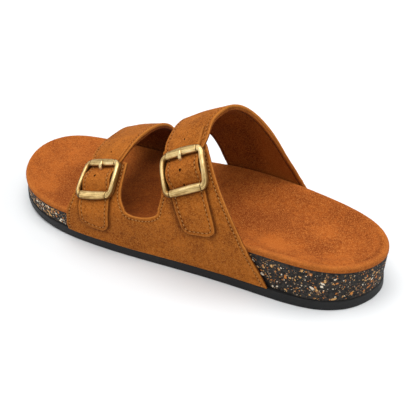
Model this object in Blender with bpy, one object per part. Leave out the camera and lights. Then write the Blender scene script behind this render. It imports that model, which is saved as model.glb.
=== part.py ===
"""Double-buckle suede sandal for the left foot, standing on its sole.

Toe towards -X, heel towards +X, buckles on the outer side (-Y), floor at Z = 0.
Tables and functions work in millimetres, and meshes are made in metres.
A place on the upper is a station (mm from the back of the heel) and a turn
round the foot: -1 outer sole edge, 0 outer rim, 1 crown, 2 inner rim, 3 inner sole edge.
"""

import bmesh
import bpy
import numpy as np

MM = 0.001

# Driving sizes
LENGTH = 270.0
FIT_GAP = 0.3
OUTSOLE_THICK = 6.3
TOE_THINNING = 1.0
THINNING_ENDS = (195.0, 230.0)
TOE_SPRING = 7.0
SPRING_START = 0.70
INSOLE_THICK = 2.2
QUARTER_THICK = 1.9
TONGUE_THICK = 1.8
STRAP_THICK = 2.3
STRAP_SINK = 0.2

# Edges of the layers, outwards from the plan outline
OUTSOLE_EDGE = -0.2
MIDSOLE_EDGE = -0.8
INSOLE_EDGE = -0.6
UPPER_EDGE = INSOLE_EDGE + FIT_GAP

# Plan outline: share of the length, outer half width, inner half width
HEEL_MIDDLE = 1.5
TOE_MIDDLE = 8.0
SOLE_OUTLINE = (
    (0.035, 21.0, 20.0),
    (0.12, 33.5, 30.5),
    (0.25, 37.0, 34.0),
    (0.40, 40.0, 34.0),
    (0.55, 44.5, 38.5),
    (0.68, 47.0, 44.0),
    (0.80, 45.5, 44.0),
    (0.90, 36.5, 39.5),
    (0.97, 18.0, 29.0),
)

# Footbed: share of the length, outer rim height, inner rim height, middle height
FOOTBED = (
    (0.0, 29.0, 29.0, 27.0),
    (0.2, 31.5, 32.0, 26.8),
    (0.4, 30.5, 35.0, 27.0),
    (0.6, 24.0, 25.0, 21.3),
    (0.8, 20.3, 20.3, 18.3),
    (1.0, 23.0, 23.0, 21.5),
)

# How the footbed climbs to its rim: share of the length, reach where the wall
# starts and ends on the outer side, the same on the inner side
FOOTBED_WALL = (
    (0.0, 0.42, 0.93, 0.42, 0.93),
    (0.2, 0.45, 0.93, 0.40, 0.95),
    (0.42, 0.40, 0.96, 0.05, 1.00),
    (0.7, 0.50, 0.98, 0.45, 0.98),
    (1.0, 0.55, 0.95, 0.55, 0.95),
)
RIM_ROLL = 0.9

# Flare outwards: station, outsole, foot of the midsole (none where the upper lies on it)
SOLE_FLARE = (
    (0.0, -1.0, -1.0),
    (12.0, 0.2, 0.2),
    (28.0, 1.1, 1.1),
    (38.0, 1.3, 1.1),
    (50.0, 1.4, 0.0),
    (150.0, 0.9, 0.0),
    (218.0, 0.4, 0.0),
    (235.0, 0.35, 0.35),
    (270.0, 0.3, 0.3),
)
OUTSOLE_FLARE, MIDSOLE_FLARE = 1, 2
# Side of the outsole: rounded lower edge, sloping wall, bevelled upper edge
OUTSOLE_ROLL = 0.6
OUTSOLE_SLOPE = 0.5
OUTSOLE_BEVEL = 0.4

# Last under the upper: station, rim height, crown height, crown place
LAST = (
    (50.0, 32.0, 85.0, 4.5),
    (100.0, 34.0, 93.0, 7.0),
    (150.0, 27.5, 68.0, 3.5),
    (190.0, 21.5, 51.0, 3.0),
    (235.0, 20.5, 25.0, 1.5),
)

# Fullness of the last's quarter arches: station, outer side, inner side
FULLNESS = (
    (80.0, 0.51, 0.36),
    (200.0, 0.36, 0.74),
)

# Quarter: turn, front edge, rear edge
QUARTER_EDGES = (
    (-1.0, 199.0, 57.0),
    (-0.5, 199.3, 63.6),
    (-0.12, 198.3, 68.5),
    (0.0, 197.8, 70.5),
    (0.06, 197.3, 73.8),
    (0.16, 196.3, 79.9),
    (0.36, 195.3, 92.0),
    (0.60, 194.5, 105.0),
    (0.70, 194.2, 110.5),
)
# Cut-out between the two tabs: turn, rear edge of the front tab, front edge of the rear tab
CUTOUT_EDGES = (
    (0.16, 152.3, 128.5),
    (0.28, 156.8, 127.2),
    (0.44, 159.3, 130.5),
    (0.62, 162.5, 135.0),
    (0.70, 164.2, 137.2),
)
CUTOUT_CORNER = 0.16
CUTOUT_BOTTOM = 0.078
# Top of a tab: turn in its middle, fall to its corners
FRONT_TAB = (0.62, 0.02)
REAR_TAB = (0.68, 0.05)
TAB_CURVE = 3.5

# Straps, tip first: station and turn of the front edge, station and turn of the rear edge
FRONT_STRAP = (
    (178.3, -0.345, 168.5, -0.415),
    (182.8, -0.22, 165.4, -0.31),
    (184.9, -0.03, 163.5, -0.09),
    (186.6, 0.15, 163.4, 0.17),
    (187.2, 0.30, 164.6, 0.31),
    (187.5, 0.43, 165.9, 0.435),
    (189.0, 0.55, 167.0, 0.55),
    (193.5, 0.67, 165.5, 0.65),
    (197.5, 0.87, 165.0, 0.87),
    (199.5, 1.10, 165.2, 1.10),
    (205.0, 1.50, 165.6, 1.50),
    (213.5, 2.00, 166.7, 2.00),
    (214.8, 2.25, 167.0, 2.25),
)
REAR_STRAP = (
    (106.0, -0.025, 93.2, 0.012),
    (109.8, 0.012, 90.8, 0.036),
    (112.0, 0.058, 90.4, 0.078),
    (114.8, 0.14, 93.2, 0.175),
    (118.6, 0.255, 98.5, 0.315),
    (122.5, 0.37, 102.6, 0.43),
    (128.1, 0.52, 106.8, 0.56),
    (132.8, 0.62, 106.0, 0.65),
    (136.0, 0.79, 107.8, 0.79),
    (138.6, 1.00, 106.2, 1.00),
    (138.6, 1.30, 96.3, 1.30),
    (134.0, 1.60, 84.2, 1.60),
    (129.6, 1.80, 76.6, 1.80),
    (128.4, 1.85, 74.3, 1.85),
    (127.2, 1.90, 72.05, 1.90),
    (125.5, 1.95, 69.8, 1.95),
    (123.8, 2.00, 67.5, 2.00),
    (121.3, 2.25, 63.0, 2.25),
)
# Turns between which a strap comes down off its tab, and turns in which it thickens
STEP_DOWN = (0.64, 1.0)
THICKENING = 0.3
# Padding on a strap's inner face, and the turns in which it grows and dies away
PADDING = 1.0
PADDING_START = (0.72, 0.97)
PADDING_END = (1.50, 1.90)
# Inner side of the upper below the straps
INNER_FRONT_BASE = 217.0
INNER_REAR_BASE = 50.5
INNER_CUTOUT_BOTTOM = 2.46

# Buckles: centre bar's distance from the strap's tip, and the buckle's shift to the rear
FRONT_BUCKLE = (30.6, 0.4)
REAR_BUCKLE = (37.6, -0.1)
WINDOW_WIDTH = 23.7
WINDOW_HEIGHT = 16.6
SIDE_BAR = 3.0
END_BAR = 3.6
BAR_BOW = 0.9
SIDE_BOW = 0.8
WINDOW_BOW = 0.4
FRAME_CORNER = 4.2
WINDOW_CORNER = 0.9
FRAME_THICK = 3.0
FRAME_BEVEL = 1.1
FRAME_FLAT = (0.25, 0.75)
CENTRE_BAR = 1.4
BAR_BEND = 1.0
PRONG_WIDTH = 2.2
PRONG_THICK = 1.0
PRONG_TIP = 0.65
TIP_WIDTH = 0.7
HOOK_THICK = 0.5
HOOK_ANGLES = (185.0, 150.0, 115.0, 80.0, 50.0)
PRONG_SLOT = (2.7, 6.7)
SLOT_ROOM = 0.4
# Prong between hook and upper bar: distance from the centre bar, height over its axis
PRONG_BEND = (
    (2.6, 0.40),
    (4.8, 1.00),
    (6.1, 1.95),
)
HUMP = (0.9, 8.6)

# Heights over the last at the buckles
BAR_AXIS = QUARTER_THICK + FIT_GAP + CENTRE_BAR / 2
HOOK_RADIUS = CENTRE_BAR / 2 + FIT_GAP + HOOK_THICK / 2
HUMP_HEIGHT = BAR_AXIS + HOOK_RADIUS + HOOK_THICK / 2 + FIT_GAP
FRAME_LOW = QUARTER_THICK - STRAP_SINK + TONGUE_THICK + FIT_GAP
FRAME_TOP = FRAME_LOW + FRAME_THICK

# Fineness of the meshes
STATIONS_PER_SIDE = 34
SPINE_ENDS = (34.0, 236.0)
FLAT_REACHES = (0.0, 0.55, 1.0)
TOP_REACHES = (0.985, 0.94, 0.87, 0.77, 0.65, 0.5, 0.28, 0.0)
STRAP_COLUMNS = 8
INNER_GAP_COLUMNS = 9
INNER_ROWS = 3
BAR_SIDES = 10
SMOOTH_ANGLE = 35.0


def ease(share):
    """Soft step from 0 to 1."""
    share = np.clip(share, 0.0, 1.0)
    return share * share * (3.0 - 2.0 * share)


def fair_curve(knots, values, at):
    """Natural cubic through a short table."""
    knots = np.asarray(knots, float)
    values = np.asarray(values, float)
    at = np.asarray(at, float)
    gaps = np.diff(knots)
    slopes = np.diff(values) / gaps
    system = np.eye(len(knots))
    target = np.zeros(len(knots))
    for row in range(1, len(knots) - 1):
        system[row, row - 1] = gaps[row - 1]
        system[row, row] = 2.0 * (gaps[row - 1] + gaps[row])
        system[row, row + 1] = gaps[row]
        target[row] = 6.0 * (slopes[row] - slopes[row - 1])
    bend = np.linalg.solve(system, target)
    left = np.clip(np.searchsorted(knots, at) - 1, 0, len(knots) - 2)
    low = (knots[left + 1] - at) / gaps[left]
    high = 1.0 - low
    straight = low * values[left] + high * values[left + 1]
    curved = (low**3 - low) * bend[left] + (high**3 - high) * bend[left + 1]
    return straight + curved * gaps[left] ** 2 / 6.0


def column(table, number):
    return [row[number] for row in table]


def table_curve(table, number, at):
    return fair_curve(column(table, 0), column(table, number), at)


def table_line(table, number, at):
    return np.interp(at, column(table, 0), column(table, number))


# Plan outline of the sole


def dense_outline(offset, count=2400):
    """Closed outline from the heel round the outer side, moved outwards by offset."""
    outer = [(share * LENGTH, -width) for share, width, _ in SOLE_OUTLINE]
    inner = [(share * LENGTH, width) for share, _, width in SOLE_OUTLINE]
    loop = [(0.0, HEEL_MIDDLE)] + outer + [(LENGTH, TOE_MIDDLE)] + inner[::-1]
    wrap = 4
    points = np.array(loop[-wrap:] + loop + loop[: wrap + 1])
    knots = np.cumsum(np.r_[0.0, np.sqrt(np.linalg.norm(np.diff(points, axis=0), axis=1))])
    at = np.linspace(knots[wrap], knots[wrap + len(loop)], count, endpoint=False)
    stations = fair_curve(knots, points[:, 0], at)
    sideways = fair_curve(knots, points[:, 1], at)
    run = np.stack([np.roll(v, -1) - np.roll(v, 1) for v in (stations, sideways)], axis=1)
    run /= np.linalg.norm(run, axis=1)[:, None]
    return np.stack([stations + offset * run[:, 1], sideways - offset * run[:, 0]], axis=1)


def split_outline(offset):
    """Outer and inner side of the outline, each with rising stations."""
    loop = dense_outline(offset)
    loop = np.roll(loop, -loop[:, 0].argmin(), axis=0)
    toe = loop[:, 0].argmax()
    outer = loop[: toe + 1]
    inner = np.vstack([loop[toe:], loop[:1]])[::-1]
    return outer, inner


def toe_lift(station):
    return TOE_SPRING * np.clip((station / LENGTH - SPRING_START) / (1.0 - SPRING_START), 0.0, 1.0) ** 2


def outsole_top(station):
    """Top of the outsole, which is thinner under the toes."""
    start, end = THINNING_ENDS
    return toe_lift(station) + OUTSOLE_THICK - TOE_THINNING * ease((station - start) / (end - start))


def seat_height(station):
    """Underside of the midsole and of the upper."""
    return outsole_top(station) + FIT_GAP


# Layers of the sole


def plan_loop(offset):
    """Points round the outline, matched side to side, with their middle-line points."""
    outer, inner = split_outline(offset)
    sweep = (1.0 - np.cos(np.linspace(0.0, np.pi, STATIONS_PER_SIDE + 1))) / 2.0
    stations = outer[0, 0] + (outer[-1, 0] - outer[0, 0]) * sweep
    left = np.interp(stations, outer[:, 0], outer[:, 1])
    right = np.interp(stations, inner[:, 0], inner[:, 1])
    spine = np.clip(stations, *SPINE_ENDS)
    middle = (np.interp(spine, outer[:, 0], outer[:, 1]) + np.interp(spine, inner[:, 0], inner[:, 1])) / 2.0
    back = slice(STATIONS_PER_SIDE - 1, 0, -1)
    edge = np.stack([np.r_[stations, stations[back]], np.r_[left, right[back]]], axis=1)
    core = np.stack([np.r_[spine, spine[back]], np.r_[middle, middle[back]]], axis=1)
    inner_side = np.r_[np.zeros(STATIONS_PER_SIDE + 1, bool), np.ones(STATIONS_PER_SIDE - 1, bool)]
    return edge, core, inner_side


def footbed_height(station, reach, inner_side):
    """Top of the footbed, reach 0 on the middle line to 1 at the rim."""
    share = np.clip(station / LENGTH, 0.0, 1.0)
    rim = np.where(inner_side, table_curve(FOOTBED, 2, share), table_curve(FOOTBED, 1, share))
    middle = table_curve(FOOTBED, 3, share)
    start = np.where(inner_side, table_line(FOOTBED_WALL, 3, share), table_line(FOOTBED_WALL, 1, share))
    end = np.where(inner_side, table_line(FOOTBED_WALL, 4, share), table_line(FOOTBED_WALL, 2, share))
    return middle + (rim - middle) * ease((reach - start) / (end - start))


def layer_mesh(lower, upper):
    """Closed mesh from loops: lower ones from the middle line out and up the side, upper ones back in.

    Both faces are cut into triangles along the same lines, so that stacked layers stay parallel.
    """
    mesh = bmesh.new()
    rings = [[mesh.verts.new(place) for place in loop] for loop in lower + upper]
    count = len(lower[0])
    for number, (low, high) in enumerate(zip(rings, rings[1:])):
        for i in range(count):
            j = (i + 1) % count
            if number < len(lower) - 1:
                triangles = ((low[i], low[j], high[j]), (low[i], high[j], high[i]))
            else:
                triangles = ((low[i], low[j], high[i]), (low[j], high[j], high[i]))
            for triangle in triangles:
                mesh.faces.new(triangle)
    bmesh.ops.remove_doubles(mesh, verts=mesh.verts[:], dist=1e-6)
    bmesh.ops.recalc_face_normals(mesh, faces=mesh.faces[:])
    return mesh


def placed(stations, sideways, heights):
    """Places in metres from stations, sideways places and heights."""
    return np.stack([LENGTH / 2.0 - stations, sideways, heights], axis=-1) * MM


def face_loops(edge, core, inner_side, reaches, height):
    """Loops of one face of a layer, at shares of the way from middle line to edge."""
    loops = []
    for reach in reaches:
        spot = core + (edge - core) * reach
        loops.append(placed(spot[:, 0], spot[:, 1], height(spot[:, 0], reach, inner_side)))
    return loops


def flared_loop(offset, flare):
    """Points round the outline, moved out by one of the columns of flare."""
    edge, core, inner_side = plan_loop(offset)
    run = np.roll(edge, -1, axis=0) - np.roll(edge, 1, axis=0)
    run /= np.linalg.norm(run, axis=1)[:, None]
    outwards = np.stack([run[:, 1], -run[:, 0]], axis=1)
    return edge + outwards * table_line(SOLE_FLARE, flare, edge[:, 0])[:, None], core, inner_side


def side_loop(edge, inner_side, height):
    return placed(edge[:, 0], edge[:, 1], height(edge[:, 0], inner_side))


def build_outsole():
    foot = OUTSOLE_EDGE + OUTSOLE_SLOPE
    edge, core, inner_side = flared_loop(foot - OUTSOLE_ROLL, OUTSOLE_FLARE)
    bottom = face_loops(edge, core, inner_side, FLAT_REACHES, lambda s, reach, inner: toe_lift(s))
    low, _, _ = flared_loop(foot, OUTSOLE_FLARE)
    high, _, _ = flared_loop(OUTSOLE_EDGE, OUTSOLE_FLARE)
    side = [
        side_loop(low, inner_side, lambda s, inner: toe_lift(s) + OUTSOLE_ROLL),
        side_loop(high, inner_side, lambda s, inner: outsole_top(s) - OUTSOLE_BEVEL),
    ]
    edge, core, inner_side = flared_loop(OUTSOLE_EDGE - OUTSOLE_BEVEL, OUTSOLE_FLARE)
    top = face_loops(edge, core, inner_side, FLAT_REACHES[::-1], lambda s, reach, inner: outsole_top(s))
    return layer_mesh(bottom + side, top)


def midsole_top(station, reach, inner_side):
    return footbed_height(station, reach, inner_side) - INSOLE_THICK - FIT_GAP


def build_midsole():
    foot, core, inner_side = flared_loop(MIDSOLE_EDGE, MIDSOLE_FLARE)
    bottom = face_loops(foot, core, inner_side, FLAT_REACHES, lambda s, reach, inner: seat_height(s))
    edge, core, inner_side = plan_loop(MIDSOLE_EDGE)

    def rim_height(station, inner):
        return midsole_top(station, 1.0, inner) - RIM_ROLL

    top = face_loops(edge, core, inner_side, TOP_REACHES[1:], midsole_top)
    return layer_mesh(bottom + [side_loop(edge, inner_side, rim_height)], top)


def build_insole():
    edge, core, inner_side = plan_loop(INSOLE_EDGE)
    under_edge, under_core, _ = plan_loop(MIDSOLE_EDGE)

    def under(station, reach, inner):
        return midsole_top(station, reach, inner) + FIT_GAP

    reaches = TOP_REACHES[:0:-1]
    bottom = face_loops(under_edge, under_core, inner_side, reaches, under)
    drops = (INSOLE_THICK + RIM_ROLL - FIT_GAP, RIM_ROLL)
    roll = [
        side_loop(edge, inner_side, lambda s, inner, drop=drop: footbed_height(s, 1.0, inner) - drop)
        for drop in drops
    ]
    top = face_loops(edge, core, inner_side, TOP_REACHES, footbed_height)
    return layer_mesh(bottom + roll, top)


# Last and upper


OUTER_SIDE, INNER_SIDE = split_outline(UPPER_EDGE)


def arch(share, start, start_pull, end_pull, end):
    """Cubic arch from start to end."""
    left = 1.0 - share
    return (
        start * left**3
        + 3.0 * start_pull * share * left**2
        + 3.0 * end_pull * share**2 * left
        + end * share**3
    )


def last_place(station, turn):
    """Inner face of the upper."""
    station, turn = np.broadcast_arrays(np.asarray(station, float), np.asarray(turn, float))
    rim = table_curve(LAST, 1, station)
    crown = table_curve(LAST, 2, station)
    crown_side = table_curve(LAST, 3, station)
    base = seat_height(station)
    outer = np.interp(station, OUTER_SIDE[:, 0], OUTER_SIDE[:, 1])
    inner = np.interp(station, INNER_SIDE[:, 0], INNER_SIDE[:, 1])
    is_outer = turn < 1.0
    wall = np.where(is_outer, outer, inner)
    full = np.where(is_outer, table_line(FULLNESS, 1, station), table_line(FULLNESS, 2, station))
    share = np.clip(np.where(is_outer, turn, 2.0 - turn), 0.0, 1.0)
    sideways = arch(share, wall, wall, crown_side + full * (wall - crown_side), crown_side)
    height = arch(share, rim, rim + full * (crown - rim), crown, crown)
    below = np.clip(np.where(is_outer, -turn, turn - 2.0), 0.0, 1.0)
    return np.stack([LENGTH / 2.0 - station, sideways, height + (base - rim) * below], axis=-1)


def upper_place(station, turn, rise):
    """Place at a height over the last, square to it."""
    station_step, turn_step = 0.4, 0.01
    along = last_place(station + station_step, turn) - last_place(station - station_step, turn)
    around = last_place(station, turn + turn_step) - last_place(station, turn - turn_step)
    out = np.cross(around, along)
    out /= np.linalg.norm(out, axis=-1)[..., None]
    return last_place(station, turn) + out * np.asarray(rise)[..., None]


class Sheet:
    """A wall of material on the last, gathered from patches of quads."""

    def __init__(self):
        self.numbers = {}
        self.spots = []
        self.quads = []

    def corner(self, spot):
        key = (round(spot[0], 3), round(spot[1], 4))
        if key not in self.numbers:
            self.numbers[key] = len(self.spots)
            self.spots.append(spot)
        return self.numbers[key]

    def add(self, stations, turns, lows, highs):
        """Patch from grids of stations, turns and the two heights of the wall."""
        grid = np.stack(np.broadcast_arrays(stations, turns, lows, highs), axis=-1)
        numbers = [[self.corner(tuple(spot)) for spot in row] for row in grid]
        for low, high in zip(numbers, numbers[1:]):
            for i in range(len(low) - 1):
                self.quads.append((low[i], low[i + 1], high[i + 1], high[i]))

    def mesh(self):
        """Closed mesh: both faces and the cut edges."""
        spots = np.array(self.spots)
        mesh = bmesh.new()
        faces = []
        for height in (2, 3):
            places = upper_place(spots[:, 0], spots[:, 1], spots[:, height]) * MM
            faces.append([mesh.verts.new(place) for place in places])
        low, high = faces
        open_edges = {}
        for quad in self.quads:
            mesh.faces.new([high[i] for i in quad])
            mesh.faces.new([low[i] for i in reversed(quad)])
            for a, b in zip(quad, quad[1:] + quad[:1]):
                if (b, a) in open_edges:
                    del open_edges[(b, a)]
                else:
                    open_edges[(a, b)] = True
        for a, b in open_edges:
            mesh.faces.new((high[b], high[a], low[a], low[b]))
        bmesh.ops.recalc_face_normals(mesh, faces=mesh.faces[:])
        return mesh


def spread(start, end, count):
    """Rows of evenly spaced values between two columns of values."""
    share = np.linspace(0.0, 1.0, count + 1)
    return np.asarray(start)[..., None] * (1.0 - share) + np.asarray(end)[..., None] * share


def cutout_dip(count):
    """Sideways shares and depths of a half-round bottom."""
    angle = np.linspace(0.0, np.pi, count + 1)
    return (1.0 - np.cos(angle)) / 2.0, np.sin(angle)


def build_quarter():
    """Outer quarter with two tabs."""
    tab_columns, cutout_columns, base_rows, tab_rows = 8, 12, 6, 9
    sheet = Sheet()
    front_corner = table_curve(CUTOUT_EDGES, 1, CUTOUT_CORNER)
    rear_corner = table_curve(CUTOUT_EDGES, 2, CUTOUT_CORNER)
    across, dip = cutout_dip(cutout_columns)
    front_edge = table_curve(QUARTER_EDGES, 1, CUTOUT_CORNER)
    rear_edge = table_curve(QUARTER_EDGES, 2, CUTOUT_CORNER)
    top = np.r_[
        spread(front_edge, front_corner, tab_columns)[:-1],
        front_corner + (rear_corner - front_corner) * across,
        spread(rear_corner, rear_edge, tab_columns)[1:],
    ]
    level = np.zeros(tab_columns)
    depth = np.r_[level, dip, level] * (CUTOUT_CORNER - CUTOUT_BOTTOM)
    shares = (top - front_edge) / (rear_edge - front_edge)
    climb = np.linspace(0.0, 1.0, base_rows + 1)[:, None]
    turns = -1.0 + climb * (1.0 + CUTOUT_CORNER - depth)
    fronts = table_curve(QUARTER_EDGES, 1, turns)
    rears = table_curve(QUARTER_EDGES, 2, turns)
    sheet.add(fronts + (rears - fronts) * shares, turns, 0.0, QUARTER_THICK)
    side = np.linspace(-1.0, 1.0, tab_columns + 1)
    rows = np.linspace(0.0, 1.0, tab_rows + 1)[:, None]
    tabs = (
        (FRONT_TAB, (QUARTER_EDGES, 1), (CUTOUT_EDGES, 1)),
        (REAR_TAB, (CUTOUT_EDGES, 2), (QUARTER_EDGES, 2)),
    )
    for (tab_top, fall), front_line, rear_line in tabs:
        turns = CUTOUT_CORNER + rows * (tab_top - fall * np.abs(side) ** TAB_CURVE - CUTOUT_CORNER)
        front = table_curve(*front_line, turns)
        rear = table_curve(*rear_line, turns)
        sheet.add(front + (rear - front) * (side + 1.0) / 2.0, turns, 0.0, QUARTER_THICK)
    return sheet.mesh()


class Strap:
    """A strap on the last, measured in mm from the tip of its tongue."""

    def __init__(self, table, buckle, shift):
        self.table = np.array(table)
        middle = (self.table[:, :2] + self.table[:, 2:]) / 2.0
        places = last_place(middle[:, 0], middle[:, 1])
        self.knots = np.cumsum(np.r_[0.0, np.linalg.norm(np.diff(places, axis=0), axis=1)])
        self.length = self.knots[-1]
        self.buckle = buckle
        self.shift = shift

    def spot(self, along, share):
        """Station and turn, share 0 on the front edge to 1 on the rear edge."""
        along, share = np.broadcast_arrays(np.asarray(along, float), np.asarray(share, float))
        front_s, front_t, rear_s, rear_t = [
            fair_curve(self.knots, self.table[:, number], along) for number in range(4)
        ]
        return front_s + (rear_s - front_s) * share, front_t + (rear_t - front_t) * share

    def width(self, along):
        ends = [last_place(*self.spot(along, share)) for share in (0.0, 1.0)]
        return np.linalg.norm(ends[1] - ends[0], axis=-1)

    def under(self, along, turn):
        """Height of the strap's underside over the last."""
        on_tab = 1.0 - ease((turn - STEP_DOWN[0]) / (STEP_DOWN[1] - STEP_DOWN[0]))
        seat = (QUARTER_THICK - STRAP_SINK) * on_tab
        off_bar = np.abs(along - self.buckle)
        hump = 1.0 - ease((off_bar - HUMP[0]) / (HUMP[1] - HUMP[0]))
        return seat + (HUMP_HEIGHT - QUARTER_THICK + STRAP_SINK) * hump - self.padding(turn)

    def thick(self, turn):
        grown = ease((turn - STEP_DOWN[0]) / THICKENING)
        return TONGUE_THICK + (STRAP_THICK - TONGUE_THICK) * grown + self.padding(turn)

    def padding(self, turn):
        grown = ease((turn - PADDING_START[0]) / (PADDING_START[1] - PADDING_START[0]))
        gone = ease((turn - PADDING_END[0]) / (PADDING_END[1] - PADDING_END[0]))
        return PADDING * (grown - gone)

    def place(self, along, across, rise):
        """Place by mm from the centre bar, mm from the buckle's middle and height over the last."""
        along = np.asarray(along, float) + self.buckle
        share = 0.5 + (np.asarray(across, float) + self.shift) / self.width(along)
        station, turn = self.spot(along, share)
        return upper_place(station, turn, np.broadcast_to(rise, station.shape)) * MM


def strap_patch(sheet, strap):
    """Grid of one strap, returning its last row of stations."""
    tip_end, buckle_end = 7.0, strap.buckle + 15.0
    tip_rows, buckle_rows, band_rows = 6, 21, 21
    along = np.r_[
        np.linspace(0.0, tip_end, tip_rows + 1)[:-1],
        np.linspace(tip_end, buckle_end, buckle_rows + 1)[:-1],
        np.linspace(buckle_end, strap.length, band_rows + 1),
    ][:, None]
    stations, turns = strap.spot(along, np.linspace(0.0, 1.0, STRAP_COLUMNS + 1))
    low = strap.under(along, turns)
    sheet.add(stations, turns, low, low + strap.thick(turns))
    return stations[-1]


def build_straps(front_strap, rear_strap):
    """Both straps and the inner side that they run down into."""
    sheet = Sheet()
    front_row = strap_patch(sheet, front_strap)
    rear_row = strap_patch(sheet, rear_strap)
    across, dip = cutout_dip(INNER_GAP_COLUMNS)
    gap_row = front_row[-1] + (rear_row[0] - front_row[-1]) * across
    top = np.r_[front_row[:-1], gap_row, rear_row[1:]]
    level = np.zeros(STRAP_COLUMNS)
    start = FRONT_STRAP[-1][1]
    top_turn = start + np.r_[level, dip, level] * (INNER_CUTOUT_BOTTOM - start)
    share = (top - top[0]) / (top[-1] - top[0])
    base = INNER_FRONT_BASE + (INNER_REAR_BASE - INNER_FRONT_BASE) * share
    down = np.linspace(0.0, 1.0, INNER_ROWS + 1)[:, None]
    turns = top_turn + (3.0 - top_turn) * down
    sheet.add(top + (base - top) * down, turns, 0.0, STRAP_THICK)
    return sheet.mesh()


# Buckles


def rounded_box(half_width, half_height, radius, side_steps=6, corner_steps=4):
    """Points round a box with round corners, as across and along."""
    points = []
    centres = ((1, 1), (-1, 1), (-1, -1), (1, -1))
    for number, (right, up) in enumerate(centres):
        for angle in np.linspace(0.0, np.pi / 2.0, corner_steps + 1) + number * np.pi / 2.0:
            points.append(
                (
                    right * (half_width - radius) + radius * np.cos(angle),
                    up * (half_height - radius) + radius * np.sin(angle),
                )
            )
        next_right, next_up = centres[(number + 1) % 4]
        start = np.array(points[-1])
        turn = (number + 1) * np.pi / 2.0
        end = np.array(
            (
                next_right * (half_width - radius) + radius * np.cos(turn),
                next_up * (half_height - radius) + radius * np.sin(turn),
            )
        )
        for share in np.linspace(0.0, 1.0, side_steps + 1)[1:-1]:
            points.append(tuple(start + (end - start) * share))
    return np.array(points)


def ring_mesh(sections):
    """Closed mesh from a closed run of closed sections."""
    mesh = bmesh.new()
    rings = [[mesh.verts.new(place) for place in section] for section in sections]
    for ring, following in zip(rings, rings[1:] + rings[:1]):
        for i in range(len(ring)):
            j = (i + 1) % len(ring)
            mesh.faces.new((ring[i], ring[j], following[j], following[i]))
    bmesh.ops.recalc_face_normals(mesh, faces=mesh.faces[:])
    return mesh


def tube_mesh(sections):
    """Closed mesh from a run of closed sections with flat ends."""
    mesh = bmesh.new()
    rings = [[mesh.verts.new(place) for place in section] for section in sections]
    for ring, following in zip(rings, rings[1:]):
        for i in range(len(ring)):
            j = (i + 1) % len(ring)
            mesh.faces.new((ring[i], ring[j], following[j], following[i]))
    mesh.faces.new(rings[0])
    mesh.faces.new(rings[-1])
    bmesh.ops.recalc_face_normals(mesh, faces=mesh.faces[:])
    return mesh


def build_frame(strap):
    """Bevelled frame, bowed at both ends."""
    half_width = WINDOW_WIDTH / 2.0 + SIDE_BAR
    half_height = WINDOW_HEIGHT / 2.0 + END_BAR
    window = rounded_box(WINDOW_WIDTH / 2.0, WINDOW_HEIGHT / 2.0, WINDOW_CORNER)
    outside = rounded_box(half_width, half_height, FRAME_CORNER)
    for box, width, height, side_bow, end_bow in (
        (outside, half_width, half_height, SIDE_BOW, BAR_BOW),
        (window, WINDOW_WIDTH / 2.0, WINDOW_HEIGHT / 2.0, WINDOW_BOW, 0.0),
    ):
        across, along = box[:, 0] / width, box[:, 1] / height
        box[:, 0] += side_bow * across * (1.0 - along**2)
        box[:, 1] += end_bow * along * (1.0 - across**2)
    profile = (
        (0.0, FRAME_LOW),
        (0.0, FRAME_TOP - FRAME_BEVEL),
        (FRAME_FLAT[0], FRAME_TOP),
        (FRAME_FLAT[1], FRAME_TOP),
        (1.0, FRAME_TOP - FRAME_BEVEL),
        (1.0, FRAME_LOW),
    )
    sections = []
    for inside, out in zip(window, outside):
        spots = np.array([inside + (out - inside) * share for share, _ in profile])
        sections.append(strap.place(spots[:, 1], spots[:, 0], np.array(column(profile, 1))))
    return ring_mesh(sections)


def build_centre_bar(strap):
    """Round bar across the window, turned up into the side bars at its ends."""
    end = (WINDOW_WIDTH + SIDE_BAR) / 2.0
    root = FRAME_LOW + FRAME_THICK * 0.4
    turn = BAR_BEND * 0.3
    rising = [(-end, root), (-end, BAR_AXIS + BAR_BEND), (turn - end, BAR_AXIS + turn)]
    level = [(across, BAR_AXIS) for across in np.linspace(BAR_BEND - end, end - BAR_BEND, 9)]
    route = np.array(rising + level + [(-across, height) for across, height in rising[::-1]])
    run = np.gradient(route, axis=0)
    run /= np.linalg.norm(run, axis=1)[:, None]
    angle = np.linspace(0.0, 2.0 * np.pi, BAR_SIDES, endpoint=False)
    radius = CENTRE_BAR / 2.0
    sections = []
    for (across, height), (run_across, run_height) in zip(route, run):
        side = radius * np.sin(angle)
        sections.append(
            strap.place(radius * np.cos(angle), across - run_height * side, height + run_across * side)
        )
    return tube_mesh(sections)


def prong_route():
    """Along and height of the prong's middle, and its thickness, hook first."""
    route = []
    for angle in np.radians(HOOK_ANGLES):
        route.append((HOOK_RADIUS * np.cos(angle), BAR_AXIS + HOOK_RADIUS * np.sin(angle), HOOK_THICK))
    route += [(along, BAR_AXIS + rise, PRONG_THICK) for along, rise in PRONG_BEND]
    bar_edge = WINDOW_HEIGHT / 2.0
    bend = 0.7
    over_bar = FRAME_TOP + FIT_GAP + PRONG_THICK / 2.0
    tip_thick = PRONG_THICK * 0.9
    route += [
        (bar_edge - bend, over_bar - bend, PRONG_THICK),
        (bar_edge + bend, over_bar, PRONG_THICK),
        (bar_edge + END_BAR * PRONG_TIP, over_bar - (PRONG_THICK - tip_thick) / 2.0, tip_thick),
    ]
    return np.array(route)


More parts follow.
